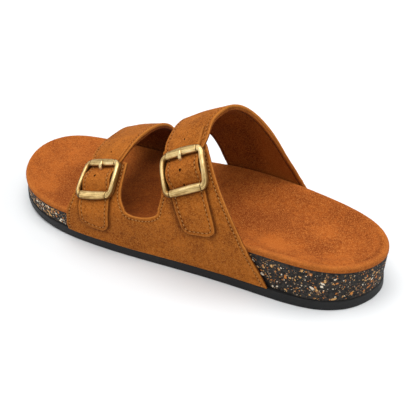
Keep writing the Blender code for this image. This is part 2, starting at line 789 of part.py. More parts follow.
def build_prong(strap):
    route = prong_route()
    run = np.gradient(route[:, :2], axis=0)
    run /= np.linalg.norm(run, axis=1)[:, None]
    bar_edge = WINDOW_HEIGHT / 2.0
    corners = ((-1.0, -1.0), (1.0, -1.0), (1.0, 0.4), (0.6, 1.0), (-0.6, 1.0), (-1.0, 0.4))
    sections = []
    for (along, height, thick), (run_along, run_height) in zip(route, run):
        narrowing = (1.0 - TIP_WIDTH) * ease((along - bar_edge) / (END_BAR * PRONG_TIP))
        half = PRONG_WIDTH / 2.0 * (1.0 - narrowing)
        across = np.array(column(corners, 0)) * half
        up = np.array(column(corners, 1)) * thick / 2.0
        sections.append(strap.place(along - run_height * up, across, height + run_along * up))
    return tube_mesh(sections)


def build_slot(strap):
    """Cutter for the hole that the prong comes through."""
    start, end = PRONG_SLOT
    half = PRONG_WIDTH / 2.0 + SLOT_ROOM
    outline = rounded_box(half, (end - start) / 2.0, half * 0.9, side_steps=2, corner_steps=3)
    along = outline[:, 1] + (start + end) / 2.0
    low, high = QUARTER_THICK + FIT_GAP / 2.0, FRAME_TOP + FRAME_THICK
    return tube_mesh([strap.place(along, outline[:, 0], rise) for rise in (low, high)])


# Objects


def make_material(name, colour, roughness, metallic):
    material = bpy.data.materials.new(name)
    material.use_nodes = True
    shader = material.node_tree.nodes["Principled BSDF"]
    shader.inputs["Base Color"].default_value = (*colour, 1.0)
    shader.inputs["Roughness"].default_value = roughness
    shader.inputs["Metallic"].default_value = metallic
    material.diffuse_color = (*colour, 1.0)
    return material


def make_object(name, mesh, material):
    data = bpy.data.meshes.new(name)
    mesh.to_mesh(data)
    mesh.free()
    data.shade_smooth()
    data.set_sharp_from_angle(angle=np.radians(SMOOTH_ANGLE))
    if material is not None:
        data.materials.append(material)
    thing = bpy.data.objects.new(name, data)
    bpy.context.collection.objects.link(thing)
    return thing


def make_helper(name, mesh):
    """Shape that only joins or cuts another."""
    helper = make_object(name, mesh, None)
    helper.hide_render = True
    helper.display_type = "WIRE"
    return helper


def combine(thing, helper, operation):
    step = thing.modifiers.new(helper.name, "BOOLEAN")
    step.operation = operation
    step.solver = "EXACT"
    step.object = helper


def main():
    for thing in list(bpy.data.objects):
        bpy.data.objects.remove(thing)
    suede = make_material("suede", (0.29, 0.09, 0.017), 0.9, 0.0)
    footbed_suede = make_material("footbed_suede", (0.45, 0.13, 0.03), 0.9, 0.0)
    chip_foam = make_material("chip_foam", (0.06, 0.05, 0.04), 0.85, 0.0)
    black_rubber = make_material("black_rubber", (0.012, 0.012, 0.013), 0.6, 0.0)
    brass = make_material("brass", (0.6, 0.43, 0.18), 0.35, 1.0)
    make_object("outsole", build_outsole(), black_rubber)
    make_object("midsole", build_midsole(), chip_foam)
    make_object("insole", build_insole(), footbed_suede)
    front_strap = Strap(FRONT_STRAP, *FRONT_BUCKLE)
    rear_strap = Strap(REAR_STRAP, *REAR_BUCKLE)
    upper = make_object("upper", build_quarter(), suede)
    combine(upper, make_helper("straps", build_straps(front_strap, rear_strap)), "UNION")
    for place, strap in (("front", front_strap), ("rear", rear_strap)):
        combine(upper, make_helper("slot_" + place, build_slot(strap)), "DIFFERENCE")
        frame = make_object("buckle_frame_" + place, build_frame(strap), brass)
        combine(frame, make_helper("centre_bar_" + place, build_centre_bar(strap)), "UNION")
        make_object("buckle_prong_" + place, build_prong(strap), brass)


main()
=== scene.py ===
import math

import bmesh
import bpy
import numpy as np
from mathutils import Matrix, Vector
from mathutils.kdtree import KDTree


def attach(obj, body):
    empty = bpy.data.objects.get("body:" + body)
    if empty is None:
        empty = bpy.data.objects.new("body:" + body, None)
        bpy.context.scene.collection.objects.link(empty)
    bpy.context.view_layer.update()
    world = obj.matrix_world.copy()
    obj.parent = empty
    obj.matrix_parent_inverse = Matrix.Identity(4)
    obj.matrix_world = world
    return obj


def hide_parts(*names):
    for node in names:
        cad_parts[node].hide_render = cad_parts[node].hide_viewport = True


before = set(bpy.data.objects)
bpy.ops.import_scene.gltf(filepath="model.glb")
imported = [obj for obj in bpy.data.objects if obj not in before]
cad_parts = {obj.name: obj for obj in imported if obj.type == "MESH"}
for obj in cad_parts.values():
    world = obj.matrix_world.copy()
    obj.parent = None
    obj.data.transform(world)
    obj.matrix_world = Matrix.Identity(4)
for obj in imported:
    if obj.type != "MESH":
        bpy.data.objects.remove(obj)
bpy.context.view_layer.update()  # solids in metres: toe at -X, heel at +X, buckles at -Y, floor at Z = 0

mm = 0.001
rng = np.random.default_rng(11)

# Last and sole, in mm. A station runs from the back of the heel, a turn goes round the foot:
# -1 outer sole edge, 0 outer rim, 1 crown, 2 inner rim, 3 inner sole edge
shape = {
    "length": 270.0,
    "fitGap": 0.3,
    "toeSpring": 7.0,
    "springStart": 0.70,
    "outsoleThick": 6.3,
    "toeThinning": (195.0, 230.0, 1.0),  # start, end, depth
    "insoleThick": 2.2,
    "heelMiddle": 1.5,
    "toeMiddle": 8.0,
    "upperEdge": -0.3,
    "spine": (34.0, 236.0),  # stations that the middle line runs between
    # station, flare of the outsole, flare of the midsole's foot
    "flare": (
        (0.0, -1.0, -1.0),
        (12.0, 0.2, 0.2),
        (28.0, 1.1, 1.1),
        (38.0, 1.3, 1.1),
        (50.0, 1.4, 0.0),
        (150.0, 0.9, 0.0),
        (218.0, 0.4, 0.0),
        (235.0, 0.35, 0.35),
        (270.0, 0.3, 0.3),
    ),
    # share of the length, outer half width, inner half width
    "outline": (
        (0.035, 21.0, 20.0),
        (0.12, 33.5, 30.5),
        (0.25, 37.0, 34.0),
        (0.40, 40.0, 34.0),
        (0.55, 44.5, 38.5),
        (0.68, 47.0, 44.0),
        (0.80, 45.5, 44.0),
        (0.90, 36.5, 39.5),
        (0.97, 18.0, 29.0),
    ),
    # share of the length, outer rim, inner rim, middle
    "footbed": (
        (0.0, 29.0, 29.0, 27.0),
        (0.2, 31.5, 32.0, 26.8),
        (0.4, 30.5, 35.0, 27.0),
        (0.6, 24.0, 25.0, 21.3),
        (0.8, 20.3, 20.3, 18.3),
        (1.0, 23.0, 23.0, 21.5),
    ),
    # share of the length, reach where the wall starts and ends, outer then inner
    "footbedWall": (
        (0.0, 0.42, 0.93, 0.42, 0.93),
        (0.2, 0.45, 0.93, 0.40, 0.95),
        (0.42, 0.40, 0.96, 0.05, 1.00),
        (0.7, 0.50, 0.98, 0.45, 0.98),
        (1.0, 0.55, 0.95, 0.55, 0.95),
    ),
    # station, rim height, crown height, crown place
    "last": (
        (50.0, 32.0, 85.0, 4.5),
        (100.0, 34.0, 93.0, 7.0),
        (150.0, 27.5, 68.0, 3.5),
        (190.0, 21.5, 51.0, 3.0),
        (235.0, 20.5, 25.0, 1.5),
    ),
    # station, fullness of the outer arch, of the inner arch
    "fullness": ((80.0, 0.51, 0.36), (200.0, 0.36, 0.74)),
}


def ease(share):
    share = np.clip(share, 0.0, 1.0)
    return share * share * (3.0 - 2.0 * share)


def bell(distance, width):
    return np.exp(-((distance / width) ** 2))


def fairCurve(knots, values, at):  # natural cubic through a short table
    knots, values, at = (np.asarray(v, float) for v in (knots, values, at))
    gaps = np.diff(knots)
    slopes = np.diff(values) / gaps
    system = np.eye(len(knots))
    target = np.zeros(len(knots))
    for row in range(1, len(knots) - 1):
        system[row, row - 1 : row + 2] = gaps[row - 1], 2.0 * (gaps[row - 1] + gaps[row]), gaps[row]
        target[row] = 6.0 * (slopes[row] - slopes[row - 1])
    bend = np.linalg.solve(system, target)
    left = np.clip(np.searchsorted(knots, at) - 1, 0, len(knots) - 2)
    low = (knots[left + 1] - at) / gaps[left]
    high = 1.0 - low
    curved = (low**3 - low) * bend[left] + (high**3 - high) * bend[left + 1]
    return low * values[left] + high * values[left + 1] + curved * gaps[left] ** 2 / 6.0


def tableCurve(table, number, at):
    return fairCurve([row[0] for row in table], [row[number] for row in table], at)


def tableLine(table, number, at):
    return np.interp(at, [row[0] for row in table], [row[number] for row in table])


def unit(vectors):
    return vectors / np.linalg.norm(vectors, axis=-1)[..., None]


def runLength(points):  # distance along a line, at each of its points
    return np.cumsum(np.r_[0.0, np.linalg.norm(np.diff(points, axis=0), axis=1)])


def circle(count):  # cosines and sines round a ring
    angle = np.linspace(0.0, 2.0 * np.pi, count, endpoint=False)
    return np.cos(angle), np.sin(angle)


def quarterTurn(steps):
    return np.linspace(0.0, np.pi / 2.0, steps + 1)[1:]


# sole outline in plan, moved outwards by an offset


def outwardOf(edge):
    run = unit(np.roll(edge, -1, axis=0) - np.roll(edge, 1, axis=0))
    return np.stack([run[:, 1], -run[:, 0]], axis=1)


def denseOutline(offset, count=2400):
    length = shape["length"]
    outer = [(share * length, -width) for share, width, _ in shape["outline"]]
    inner = [(share * length, width) for share, _, width in shape["outline"]]
    loop = [(0.0, shape["heelMiddle"])] + outer + [(length, shape["toeMiddle"])] + inner[::-1]
    wrap = 4
    points = np.array(loop[-wrap:] + loop + loop[: wrap + 1])
    knots = np.cumsum(np.r_[0.0, np.sqrt(np.linalg.norm(np.diff(points, axis=0), axis=1))])
    at = np.linspace(knots[wrap], knots[wrap + len(loop)], count, endpoint=False)
    loop = np.stack([fairCurve(knots, points[:, axis], at) for axis in (0, 1)], axis=1)
    return loop + offset * outwardOf(loop)


def splitOutline(offset):
    loop = denseOutline(offset)
    loop = np.roll(loop, -loop[:, 0].argmin(), axis=0)
    toe = loop[:, 0].argmax()
    return loop[: toe + 1], np.vstack([loop[toe:], loop[:1]])[::-1]


def toeLift(station):
    start = shape["springStart"]
    return shape["toeSpring"] * np.clip((station / shape["length"] - start) / (1.0 - start), 0.0, 1.0) ** 2


def outsoleTop(station):  # thinner under the toes
    start, end, depth = shape["toeThinning"]
    return toeLift(station) + shape["outsoleThick"] - depth * ease((station - start) / (end - start))


def seatHeight(station):
    return outsoleTop(station) + shape["fitGap"]


def planLoop(offset, perSide):
    outer, inner = splitOutline(offset)
    sweep = (1.0 - np.cos(np.linspace(0.0, np.pi, perSide + 1))) / 2.0
    stations = outer[0, 0] + (outer[-1, 0] - outer[0, 0]) * sweep
    spine = np.clip(stations, *shape["spine"])
    sides = [np.interp(stations, side[:, 0], side[:, 1]) for side in (outer, inner)]
    middle = sum(np.interp(spine, side[:, 0], side[:, 1]) for side in (outer, inner)) / 2.0
    back = slice(perSide - 1, 0, -1)
    edge = np.stack([np.r_[stations, stations[back]], np.r_[sides[0], sides[1][back]]], axis=1)
    core = np.stack([np.r_[spine, spine[back]], np.r_[middle, middle[back]]], axis=1)
    inside = np.r_[np.zeros(perSide + 1, bool), np.ones(perSide - 1, bool)]
    return edge, core, inside


def flaredLoop(offset, flare, perSide):
    edge, core, inside = planLoop(offset, perSide)
    return edge + outwardOf(edge) * tableLine(shape["flare"], flare, edge[:, 0])[:, None], core, inside


def footbedHeight(station, reach, inside):
    share = np.clip(station / shape["length"], 0.0, 1.0)
    bed, wall = shape["footbed"], shape["footbedWall"]
    rim = np.where(inside, tableCurve(bed, 2, share), tableCurve(bed, 1, share))
    middle = tableCurve(bed, 3, share)
    start = np.where(inside, tableLine(wall, 3, share), tableLine(wall, 1, share))
    end = np.where(inside, tableLine(wall, 4, share), tableLine(wall, 2, share))
    return middle + (rim - middle) * ease((reach - start) / (end - start))


def midsoleTop(station, reach, inside):
    return footbedHeight(station, reach, inside) - shape["insoleThick"] - shape["fitGap"]


def placed(stations, sideways, heights):
    return np.stack([shape["length"] / 2.0 - stations, sideways, heights], axis=-1)


outerSide, innerSide = splitOutline(shape["upperEdge"])


def arch(share, start, startPull, endPull, end):  # cubic curve from the rim to the crown
    left = 1.0 - share
    return (start * left**3 + 3.0 * startPull * share * left**2 + 3.0 * endPull * share**2 * left
            + end * share**3)


def lastPlace(station, turn):  # inner face of the upper
    station, turn = np.broadcast_arrays(np.asarray(station, float), np.asarray(turn, float))
    rim, crown, crownSide = (tableCurve(shape["last"], number, station) for number in (1, 2, 3))
    isOuter = turn < 1.0
    wall = np.where(isOuter, *(np.interp(station, side[:, 0], side[:, 1]) for side in (outerSide, innerSide)))
    full = np.where(isOuter, *(tableLine(shape["fullness"], number, station) for number in (1, 2)))
    share = np.clip(np.where(isOuter, turn, 2.0 - turn), 0.0, 1.0)
    sideways = arch(share, wall, wall, crownSide + full * (wall - crownSide), crownSide)
    height = arch(share, rim, rim + full * (crown - rim), crown, crown)
    below = np.clip(np.where(isOuter, -turn, turn - 2.0), 0.0, 1.0)
    return placed(station, sideways, height + (seatHeight(station) - rim) * below)


def lastNormal(station, turn, step=0.4, twist=0.01):
    along = lastPlace(station + step, turn) - lastPlace(station - step, turn)
    around = lastPlace(station, turn + twist) - lastPlace(station, turn - twist)
    return unit(np.cross(around, along))


def upperPlace(station, turn, rise):
    return lastPlace(station, turn) + lastNormal(station, turn) * np.asarray(rise)[..., None]


# meshes and pieces


def makePiece(name, places, faces, materials, masks=None, faceKinds=None, weld=False, sharp=45.0):
    data = bpy.data.meshes.new(name)
    data.from_pydata((np.asarray(places) * mm).tolist(), [], [list(map(int, face)) for face in faces])
    for key, values in (masks or {}).items():
        values = np.asarray(values, np.float32)
        kind, field = ("FLOAT_VECTOR", "vector") if values.ndim == 2 else ("FLOAT", "value")
        data.attributes.new(key, kind, "POINT").data.foreach_set(field, values.ravel())
    if faceKinds is not None:
        data.polygons.foreach_set("material_index", np.asarray(faceKinds, np.int32))
    mesh = bmesh.new()
    mesh.from_mesh(data)
    if weld:
        bmesh.ops.remove_doubles(mesh, verts=mesh.verts[:], dist=1e-6)
    bmesh.ops.recalc_face_normals(mesh, faces=mesh.faces[:])
    mesh.to_mesh(data)
    mesh.free()
    data.shade_smooth()
    data.set_sharp_from_angle(angle=math.radians(sharp))
    for material in materials:
        data.materials.append(material)
    piece = bpy.data.objects.new(name, data)
    bpy.context.scene.collection.objects.link(piece)
    return piece


def settle(piece, slotName, *nodes):  # every piece rides on the one body
    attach(piece, "root")
    if nodes:
        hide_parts(*nodes)
    print("made", piece.name, len(piece.data.polygons), "faces")
    return piece


def loopFaces(loopCount, count):
    ring = np.arange(count)
    following = np.roll(ring, -1)
    starts = np.arange(loopCount - 1)[:, None] * count
    here, there = ring + starts, following + starts
    return np.stack([here, there, there + count, here + count], axis=-1).reshape(-1, 4)


def tubeFaces(loopCount, count):  # rings in a row, with both ends closed
    last = (loopCount - 1) * count
    return loopFaces(loopCount, count).tolist() + [list(range(count)), list(range(last, last + count))]


def spindleFaces(count, sides):  # many small closed shapes: a top point, a ring and a root point
    first = np.arange(count)[:, None] * (sides + 2)
    ring = np.arange(sides)
    here, following = first + 1 + ring, first + 1 + (ring + 1) % sides
    top, root = np.broadcast_arrays(first, first + sides + 1, here)[:2]
    caps = [np.stack(corners, axis=-1) for corners in ((top, here, following), (root, following, here))]
    return np.concatenate(caps, axis=1).reshape(-1, 3)


# node helpers


def put(tree, kind, inputs=None, **settings):
    made = tree.nodes.new(kind)
    for key, value in settings.items():
        setattr(made, key, value)
    for key, value in (inputs or {}).items():
        if isinstance(value, bpy.types.NodeSocket):
            tree.links.new(value, made.inputs[key])
        else:
            made.inputs[key].default_value = value
    return made


def calc(tree, operation, first, second=0.0, clamp=False):
    made = put(tree, "ShaderNodeMath", {0: first, 1: second}, operation=operation, use_clamp=clamp)
    return made.outputs[0]


def mixColor(tree, factor, first, second, blend="MIX"):
    inputs = {0: factor, 6: first, 7: second}  # the sockets that mix colours
    return put(tree, "ShaderNodeMix", inputs, data_type="RGBA", blend_type=blend).outputs[2]


def remap(tree, value, low, high, start=0.0, end=1.0):
    inputs = {"Value": value, "From Min": low, "From Max": high, "To Min": start, "To Max": end}
    return put(tree, "ShaderNodeMapRange", inputs).outputs[0]


def noise(tree, where, scale, detail=3.0, roughness=0.55, distortion=0.0):
    inputs = {"Vector": where, "Scale": scale, "Detail": detail, "Roughness": roughness}
    inputs["Distortion"] = distortion
    return put(tree, "ShaderNodeTexNoise", inputs).outputs[0]


def swing(tree, value, depth):  # a noise about its middle
    return calc(tree, "MULTIPLY", calc(tree, "SUBTRACT", value, 0.5), depth)


def feed(tree, sockets, values):
    for label, value in values.items():
        tree.links.new(value, sockets[label])


socketKinds = {1: "NodeSocketFloat", 3: "NodeSocketVector", 4: "NodeSocketColor"}  # by the numbers they hold


def newGroup(name, inputs, outputs):
    group = bpy.data.node_groups.new(name, "ShaderNodeTree")
    for label, value in inputs.items():
        socket = group.interface.new_socket(label, in_out="INPUT", socket_type=socketKinds[np.size(value)])
        socket.default_value = value
    for label, size in outputs.items():
        group.interface.new_socket(label, in_out="OUTPUT", socket_type=socketKinds[size])
    return group, put(group, "NodeGroupInput").outputs, put(group, "NodeGroupOutput").inputs


def colour(red, green, blue):  # screen values to the renderer's own
    values = np.array([red, green, blue]) / 255.0
    return (*np.where(values <= 0.04045, values / 12.92, ((values + 0.055) / 1.055) ** 2.4), 1.0)


def newMaterial(name, specular=0.5, **constants):
    material = bpy.data.materials.new(name)
    material.use_nodes = True
    tree = material.node_tree
    shader = tree.nodes["Principled BSDF"]
    for label, value in {"Specular IOR Level": specular, **constants}.items():
        shader.inputs[label].default_value = value
    return material, tree, shader


def addBump(tree, shader, height, distance):
    bump = put(tree, "ShaderNodeBump", {"Height": height, "Distance": distance, "Strength": 1.0})
    tree.links.new(bump.outputs[0], shader.inputs["Normal"])


def objectSpace(tree):
    return put(tree, "ShaderNodeTexCoord").outputs["Object"]


def readMask(tree, name):
    return put(tree, "ShaderNodeAttribute", attribute_name=name).outputs["Fac"]


# suede: soft clouds of brushed nap, blotches, fibres, pale edges that are partly wear and partly painted
# highlight, and painted shade along seams, slits and buckles

suede = {
    "cloudScale": 42.0,
    "blotchScale": 150.0,
    "napScale": 660.0,
    "fibreScale": 1700.0,
    "fibreTips": (0.47, 0.66, 0.0, 0.75),  # from this noise to that one, this to that much of the pale colour
    "fibreRoughness": (0.3, 0.7, 0.98, 0.84),
    "napRelief": 0.6,
    "fibreRelief": 0.5,
    "edgeWear": 0.65,
    "seamShade": 0.85,
    "seamTint": (0.3, 0.25, 0.2, 1.0),
    "stainTint": (0.42, 0.30, 0.08, 1.0),
    "specular": 0.12,
    "sheenRoughness": 0.45,
    "values": ("base", "deep", "pale", "clouds", "blotches", "nap"),
    "masks": ("edge", "seam", "stain", "cloud"),
    "looks": {
        "upperSuede": {
            "base": colour(175, 98, 30),
            "deep": colour(112, 52, 10),
            "pale": colour(197, 125, 53),
            "clouds": 1.5,
            "blotches": 1.3,
            "nap": 1.9,
            "sheen": 0.08,
            "bump": 0.0003,
        },
        "liningSuede": {
            "base": colour(126, 59, 7),
            "deep": colour(82, 30, 2),
            "pale": colour(176, 104, 44),
            "clouds": 0.9,
            "blotches": 0.8,
            "nap": 1.5,
            "sheen": 0.04,
            "bump": 0.0003,
        },
        "footbedSuede": {
            "base": colour(170, 88, 30),
            "deep": colour(127, 57, 16),
            "pale": colour(199, 122, 55),
            "clouds": 1.6,
            "blotches": 1.7,
            "nap": 2.1,
            "sheen": 0.06,
            "bump": 0.00032,
        },
    },
}


def makeSuedeGroup():
    look = suede["looks"]["upperSuede"]
    inputs = {key.capitalize(): look[key] for key in suede["values"]}
    inputs.update({key.capitalize(): 0.0 for key in suede["masks"]})
    tree, given, out = newGroup("suedeNap", inputs, {"Color": 4, "Height": 1, "Roughness": 1})
    where = objectSpace(tree)
    clouds = swing(tree, noise(tree, where, suede["cloudScale"], 3.0), given["Clouds"])
    # the mask adds nap clouds, painted shadow on the footbed and painted light on the lining
    clouds = calc(tree, "SUBTRACT", clouds, given["Cloud"])
    blots = swing(tree, noise(tree, where, suede["blotchScale"], 5.0, 0.62, 0.6), given["Blotches"])
    nap = noise(tree, where, suede["napScale"], 2.0, 0.7)
    fibre = noise(tree, where, suede["fibreScale"], 2.0, 0.65)
    depth = calc(tree, "ADD", calc(tree, "ADD", clouds, blots), 0.5)
    depth = calc(tree, "ADD", depth, swing(tree, nap, given["Nap"]), clamp=True)
    body = mixColor(tree, depth, given["Deep"], given["Base"])
    body = mixColor(tree, remap(tree, fibre, *suede["fibreTips"]), body, given["Pale"])
    # pale edges: partly wear, partly painted highlight where light catches the rolled edge
    body = mixColor(tree, calc(tree, "MULTIPLY", given["Edge"], suede["edgeWear"]), body, given["Pale"])
    # painted shadow: multiplies by a deep saturated tint on the footbed under the straps and on the lining
    # under the front strap
    body = mixColor(tree, given["Stain"], body, suede["stainTint"], "MULTIPLY")
    # painted shade: darkens towards a shaded deep colour along seams, slits, creases, beside the tongues and
    # along the buckle bars
    shade = mixColor(tree, 1.0, given["Deep"], suede["seamTint"], "MULTIPLY")
    body = mixColor(tree, calc(tree, "MULTIPLY", given["Seam"], suede["seamShade"]), body, shade)
    raised = calc(tree, "MULTIPLY", nap, suede["napRelief"])
    height = calc(tree, "ADD", raised, calc(tree, "MULTIPLY", fibre, suede["fibreRelief"]))
    rough = remap(tree, fibre, *suede["fibreRoughness"])
    feed(tree, out, {"Color": body, "Height": height, "Roughness": rough})
    return tree


suedeNap = makeSuedeGroup()


def suedeMaterial(name, look):
    sheen = {"Sheen Weight": look["sheen"], "Sheen Roughness": suede["sheenRoughness"]}
    material, tree, shader = newMaterial(name, suede["specular"], **sheen, **{"Sheen Tint": look["pale"]})
    inputs = {key.capitalize(): look[key] for key in suede["values"]}
    inputs.update({key.capitalize(): readMask(tree, key) for key in suede["masks"]})
    nap = put(tree, "ShaderNodeGroup", inputs, node_tree=suedeNap).outputs
    feed(tree, shader.inputs, {"Base Color": nap["Color"], "Roughness": nap["Roughness"]})
    addBump(tree, shader, nap["Height"], look["bump"])
    return material


suedes = {name: suedeMaterial(name, look) for name, look in suede["looks"].items()}


# rubber, foam and chips, all with a fine moulded grain

moulded = {
    "broadScale": 70.0,
    "broadMask": (0.35, 0.65),
    # specular level, scale of the grain, range of the roughness, depth of the bump
    "rubber": (0.35, 1400.0, (0.5, 0.66), 0.00006),
    "foam": (0.25, 700.0, (0.78, 0.92), 0.00025),
    "chip": (0.3, 1100.0, (0.6, 0.75), 0.0001),
    "rubberTints": (colour(9, 9, 10), colour(17, 17, 18)),
    "foamTints": (colour(24, 23, 22), colour(64, 60, 57)),
    "shadeTint": colour(16, 13, 11),  # beside the upper
    "shadeRagged": (420.0, 1.4),  # scale, middle
    # dust-fine flecks between the chips
    "fleckScale": 560.0,
    "fleckBend": (900.0, 0.0016),  # scale, metres
    "fleckEdge": (0.26, 0.18),
    "fleckRarity": 0.72,
    "fleckTints": (colour(132, 94, 60), colour(226, 196, 158)),
    # name of each chip colour, in the light and in its dark clouds
    "chips": (
        ("chipCream", colour(250, 240, 220), colour(222, 202, 172)),
        ("chipTan", colour(228, 180, 114), colour(190, 136, 72)),
        ("chipOrange", colour(222, 142, 60), colour(174, 98, 36)),
        ("chipBrown", colour(128, 92, 64), colour(92, 64, 44)),
    ),
}


def makeGrainGroup():
    tree, given, out = newGroup("fineGrain", {"Scale": 900.0}, {"Height": 1, "Mask": 1})
    where = objectSpace(tree)
    broad = noise(tree, where, moulded["broadScale"], 4.0, 0.6)
    grain = noise(tree, where, given["Scale"], 3.0, 0.6)
    feed(tree, out, {"Height": grain, "Mask": remap(tree, broad, *moulded["broadMask"])})
    return tree


fineGrain = makeGrainGroup()


def mouldedMaterial(name, kind, paint, roughBy, roughFrom=(0.0, 1.0)):
    specular, scale, roughness, bump = moulded[kind]
    material, tree, shader = newMaterial(name, specular)
    grain = put(tree, "ShaderNodeGroup", {"Scale": scale}, node_tree=fineGrain).outputs
    rough = remap(tree, grain[roughBy], *roughFrom, *roughness)
    feed(tree, shader.inputs, {"Base Color": paint(tree, grain), "Roughness": rough})
    addBump(tree, shader, grain["Height"], bump)
    return material


def paintRubber(tree, grain):
    return mixColor(tree, grain["Mask"], *moulded["rubberTints"])


def paintFoam(tree, grain):  # dark between the chips, with flecks, darkest beside the upper
    where = objectSpace(tree)
    body = mixColor(tree, remap(tree, grain["Height"], 0.35, 0.68), *moulded["foamTints"])
    scale, reach = moulded["fleckBend"]
    bent = mixColor(tree, reach, where, put(tree, "ShaderNodeTexNoise", {"Scale": scale}).outputs[1], "ADD")
    inputs = {"Vector": bent, "Scale": moulded["fleckScale"], "Randomness": 1.0}
    flecks = put(tree, "ShaderNodeTexVoronoi", inputs).outputs
    parts = put(tree, "ShaderNodeSeparateColor", {"Color": flecks["Color"]}).outputs
    small = remap(tree, flecks["Distance"], *moulded["fleckEdge"])
    small = calc(tree, "MULTIPLY", small, calc(tree, "GREATER_THAN", parts[0], moulded["fleckRarity"]))
    body = mixColor(tree, small, body, mixColor(tree, parts[1], *moulded["fleckTints"]))
    scale, middle = moulded["shadeRagged"]
    ragged = remap(tree, noise(tree, where, scale, 3.0, 0.7), 0.3, 0.7, -0.5, 0.5)
    shade = calc(tree, "MULTIPLY", calc(tree, "ADD", ragged, middle), readMask(tree, "shade"), clamp=True)
    return mixColor(tree, shade, body, moulded["shadeTint"])


def chipMaterial(name, tint, dusk):  # one colour of chip, cloudy within
    def paint(tree, grain):
        return mixColor(tree, remap(tree, grain["Height"], 0.35, 0.65), dusk, tint)

    return mouldedMaterial(name, "chip", paint, "Mask")


blackRubber = mouldedMaterial("blackRubber", "rubber", paintRubber, "Height", (0.3, 0.7))
chipFoam = mouldedMaterial("chipFoam", "foam", paintFoam, "Mask")
chipTones = [chipMaterial(*look) for look in moulded["chips"]]


# brass: brushed and slightly aged, with streaks along the bars

brass = {
    "streakStretch": (0.12, 0.12, 3.2),  # along the bar, along it, across it
    "stainScale": 300.0,
    # what a range of noise or age turns into
    "stainAge": (0.45, 0.75, 0.0, 0.4),
    "streakAge": (0.45, 0.70, -0.1, 0.8),
    "stainRoughness": (0.3, 0.75, 0.0, 0.14),
    "ageRoughness": (-0.6, 0.4, 0.26, 0.36),
    # cream brass, the painted highlight included, is less metal so that it shows bright
    "ageMetal": (-0.6, 0.1, 0.35, 0.78),
    "creamAge": (0.0, -0.4),
    "jointAge": (1.0, 2.0),
    "jointTint": (0.02, 0.012, 0.004, 1.0),
    "bump": 0.00005,
    "cream": colour(254, 240, 204),
    # bright and aged
    "frameBrass": (colour(238, 206, 140), colour(138, 98, 44)),
    "prongBrass": (colour(242, 216, 158), colour(146, 106, 52)),
}


def makeBrushedGroup():
    bright, aged = brass["frameBrass"]
    inputs = {"Bright": bright, "Aged": aged, "Cream": brass["cream"], "Age": 0.0, "Flow": (0.0, 0.0, 0.0)}
    outputs = {"Color": 4, "Height": 1, "Roughness": 1, "Metal": 1}
    tree, given, out = newGroup("brushedBrass", inputs, outputs)
    stretch = {"Vector": given["Flow"], "Scale": brass["streakStretch"]}
    streak = noise(tree, put(tree, "ShaderNodeMapping", stretch).outputs[0], 1.0, 3.0, 0.65)
    stain = noise(tree, objectSpace(tree), brass["stainScale"], 4.0, 0.6)
    age = calc(tree, "ADD", remap(tree, stain, *brass["stainAge"]), given["Age"])
    age = calc(tree, "ADD", age, remap(tree, streak, *brass["streakAge"]))
    body = mixColor(tree, remap(tree, age, 0.0, 1.0), given["Bright"], given["Aged"])
    body = mixColor(tree, remap(tree, age, *brass["creamAge"]), body, given["Cream"])
    body = mixColor(tree, remap(tree, given["Age"], *brass["jointAge"]), body, brass["jointTint"])
    stained = remap(tree, stain, *brass["stainRoughness"])
    rough = calc(tree, "ADD", stained, remap(tree, age, *brass["ageRoughness"]))
    metal = remap(tree, age, *brass["ageMetal"])
    feed(tree, out, {"Color": body, "Height": streak, "Roughness": rough, "Metal": metal})
    return tree


brushedBrass = makeBrushedGroup()


def brassMaterial(name):
    material, tree, shader = newMaterial(name)
    flow = put(tree, "ShaderNodeAttribute", attribute_name="flow").outputs["Vector"]
    bright, aged = brass[name]
    inputs = {"Bright": bright, "Aged": aged, "Cream": brass["cream"], "Flow": flow}
    inputs["Age"] = readMask(tree, "age")
    brush = put(tree, "ShaderNodeGroup", inputs, node_tree=brushedBrass).outputs
    feeds = {"Base Color": brush["Color"], "Roughness": brush["Roughness"], "Metallic": brush["Metal"]}
    feed(tree, shader.inputs, feeds)
    addBump(tree, shader, brush["Height"], brass["bump"])
    return material


frameBrass, prongBrass = brassMaterial("frameBrass"), brassMaterial("prongBrass")


# thread, and the dark inside of needle holes and punched holes


def threadMaterial(name, low, high, worn):
    material, tree, shader = newMaterial(name, 0.3)
    twist = noise(tree, objectSpace(tree), 2600.0, 2.0)
    tone = mixColor(tree, readMask(tree, "worn"), mixColor(tree, twist, low, high), worn)
    feed(tree, shader.inputs, {"Base Color": tone, "Roughness": remap(tree, twist, 0.3, 0.7, 0.6, 0.8)})
    addBump(tree, shader, twist, 0.0001)
    return material


def shadeMaterial(name, low, high):
    material, tree, shader = newMaterial(name, 0.05, Roughness=1.0)
    tone = mixColor(tree, noise(tree, objectSpace(tree), 1500.0), low, high)
    feed(tree, shader.inputs, {"Base Color": tone})
    return material


waxedThread = threadMaterial("waxedThread", colour(158, 104, 48), colour(212, 158, 88), colour(170, 108, 46))
darkThread = threadMaterial("darkThread", colour(58, 24, 8), colour(92, 44, 16), colour(64, 28, 9))
holeShade = shadeMaterial("holeShade", colour(26, 10, 3), colour(48, 21, 7))
needleShade = shadeMaterial("needleShade", colour(52, 22, 7), colour(84, 40, 14))
print("materials ready")


# outsole

outsole = {
    "edge": -0.2,
    "roll": 0.6,
    "slope": 0.5,
    "bevel": 0.4,
    "perSide": 400,
    "rings": 64,
    "treadPitch": 7.5,
    "treadDepth": 0.9,
    "treadWave": (3.2, 24.0),  # swing and length
    "treadGroove": (0.27, 0.17),  # half width and soft flank, in pitches
    "treadBorder": (0.86, 0.03),  # reach where the grooves end, and their fade
}


def ringAt(core, edge, reach):
    return (core + (edge - core) * reach).T


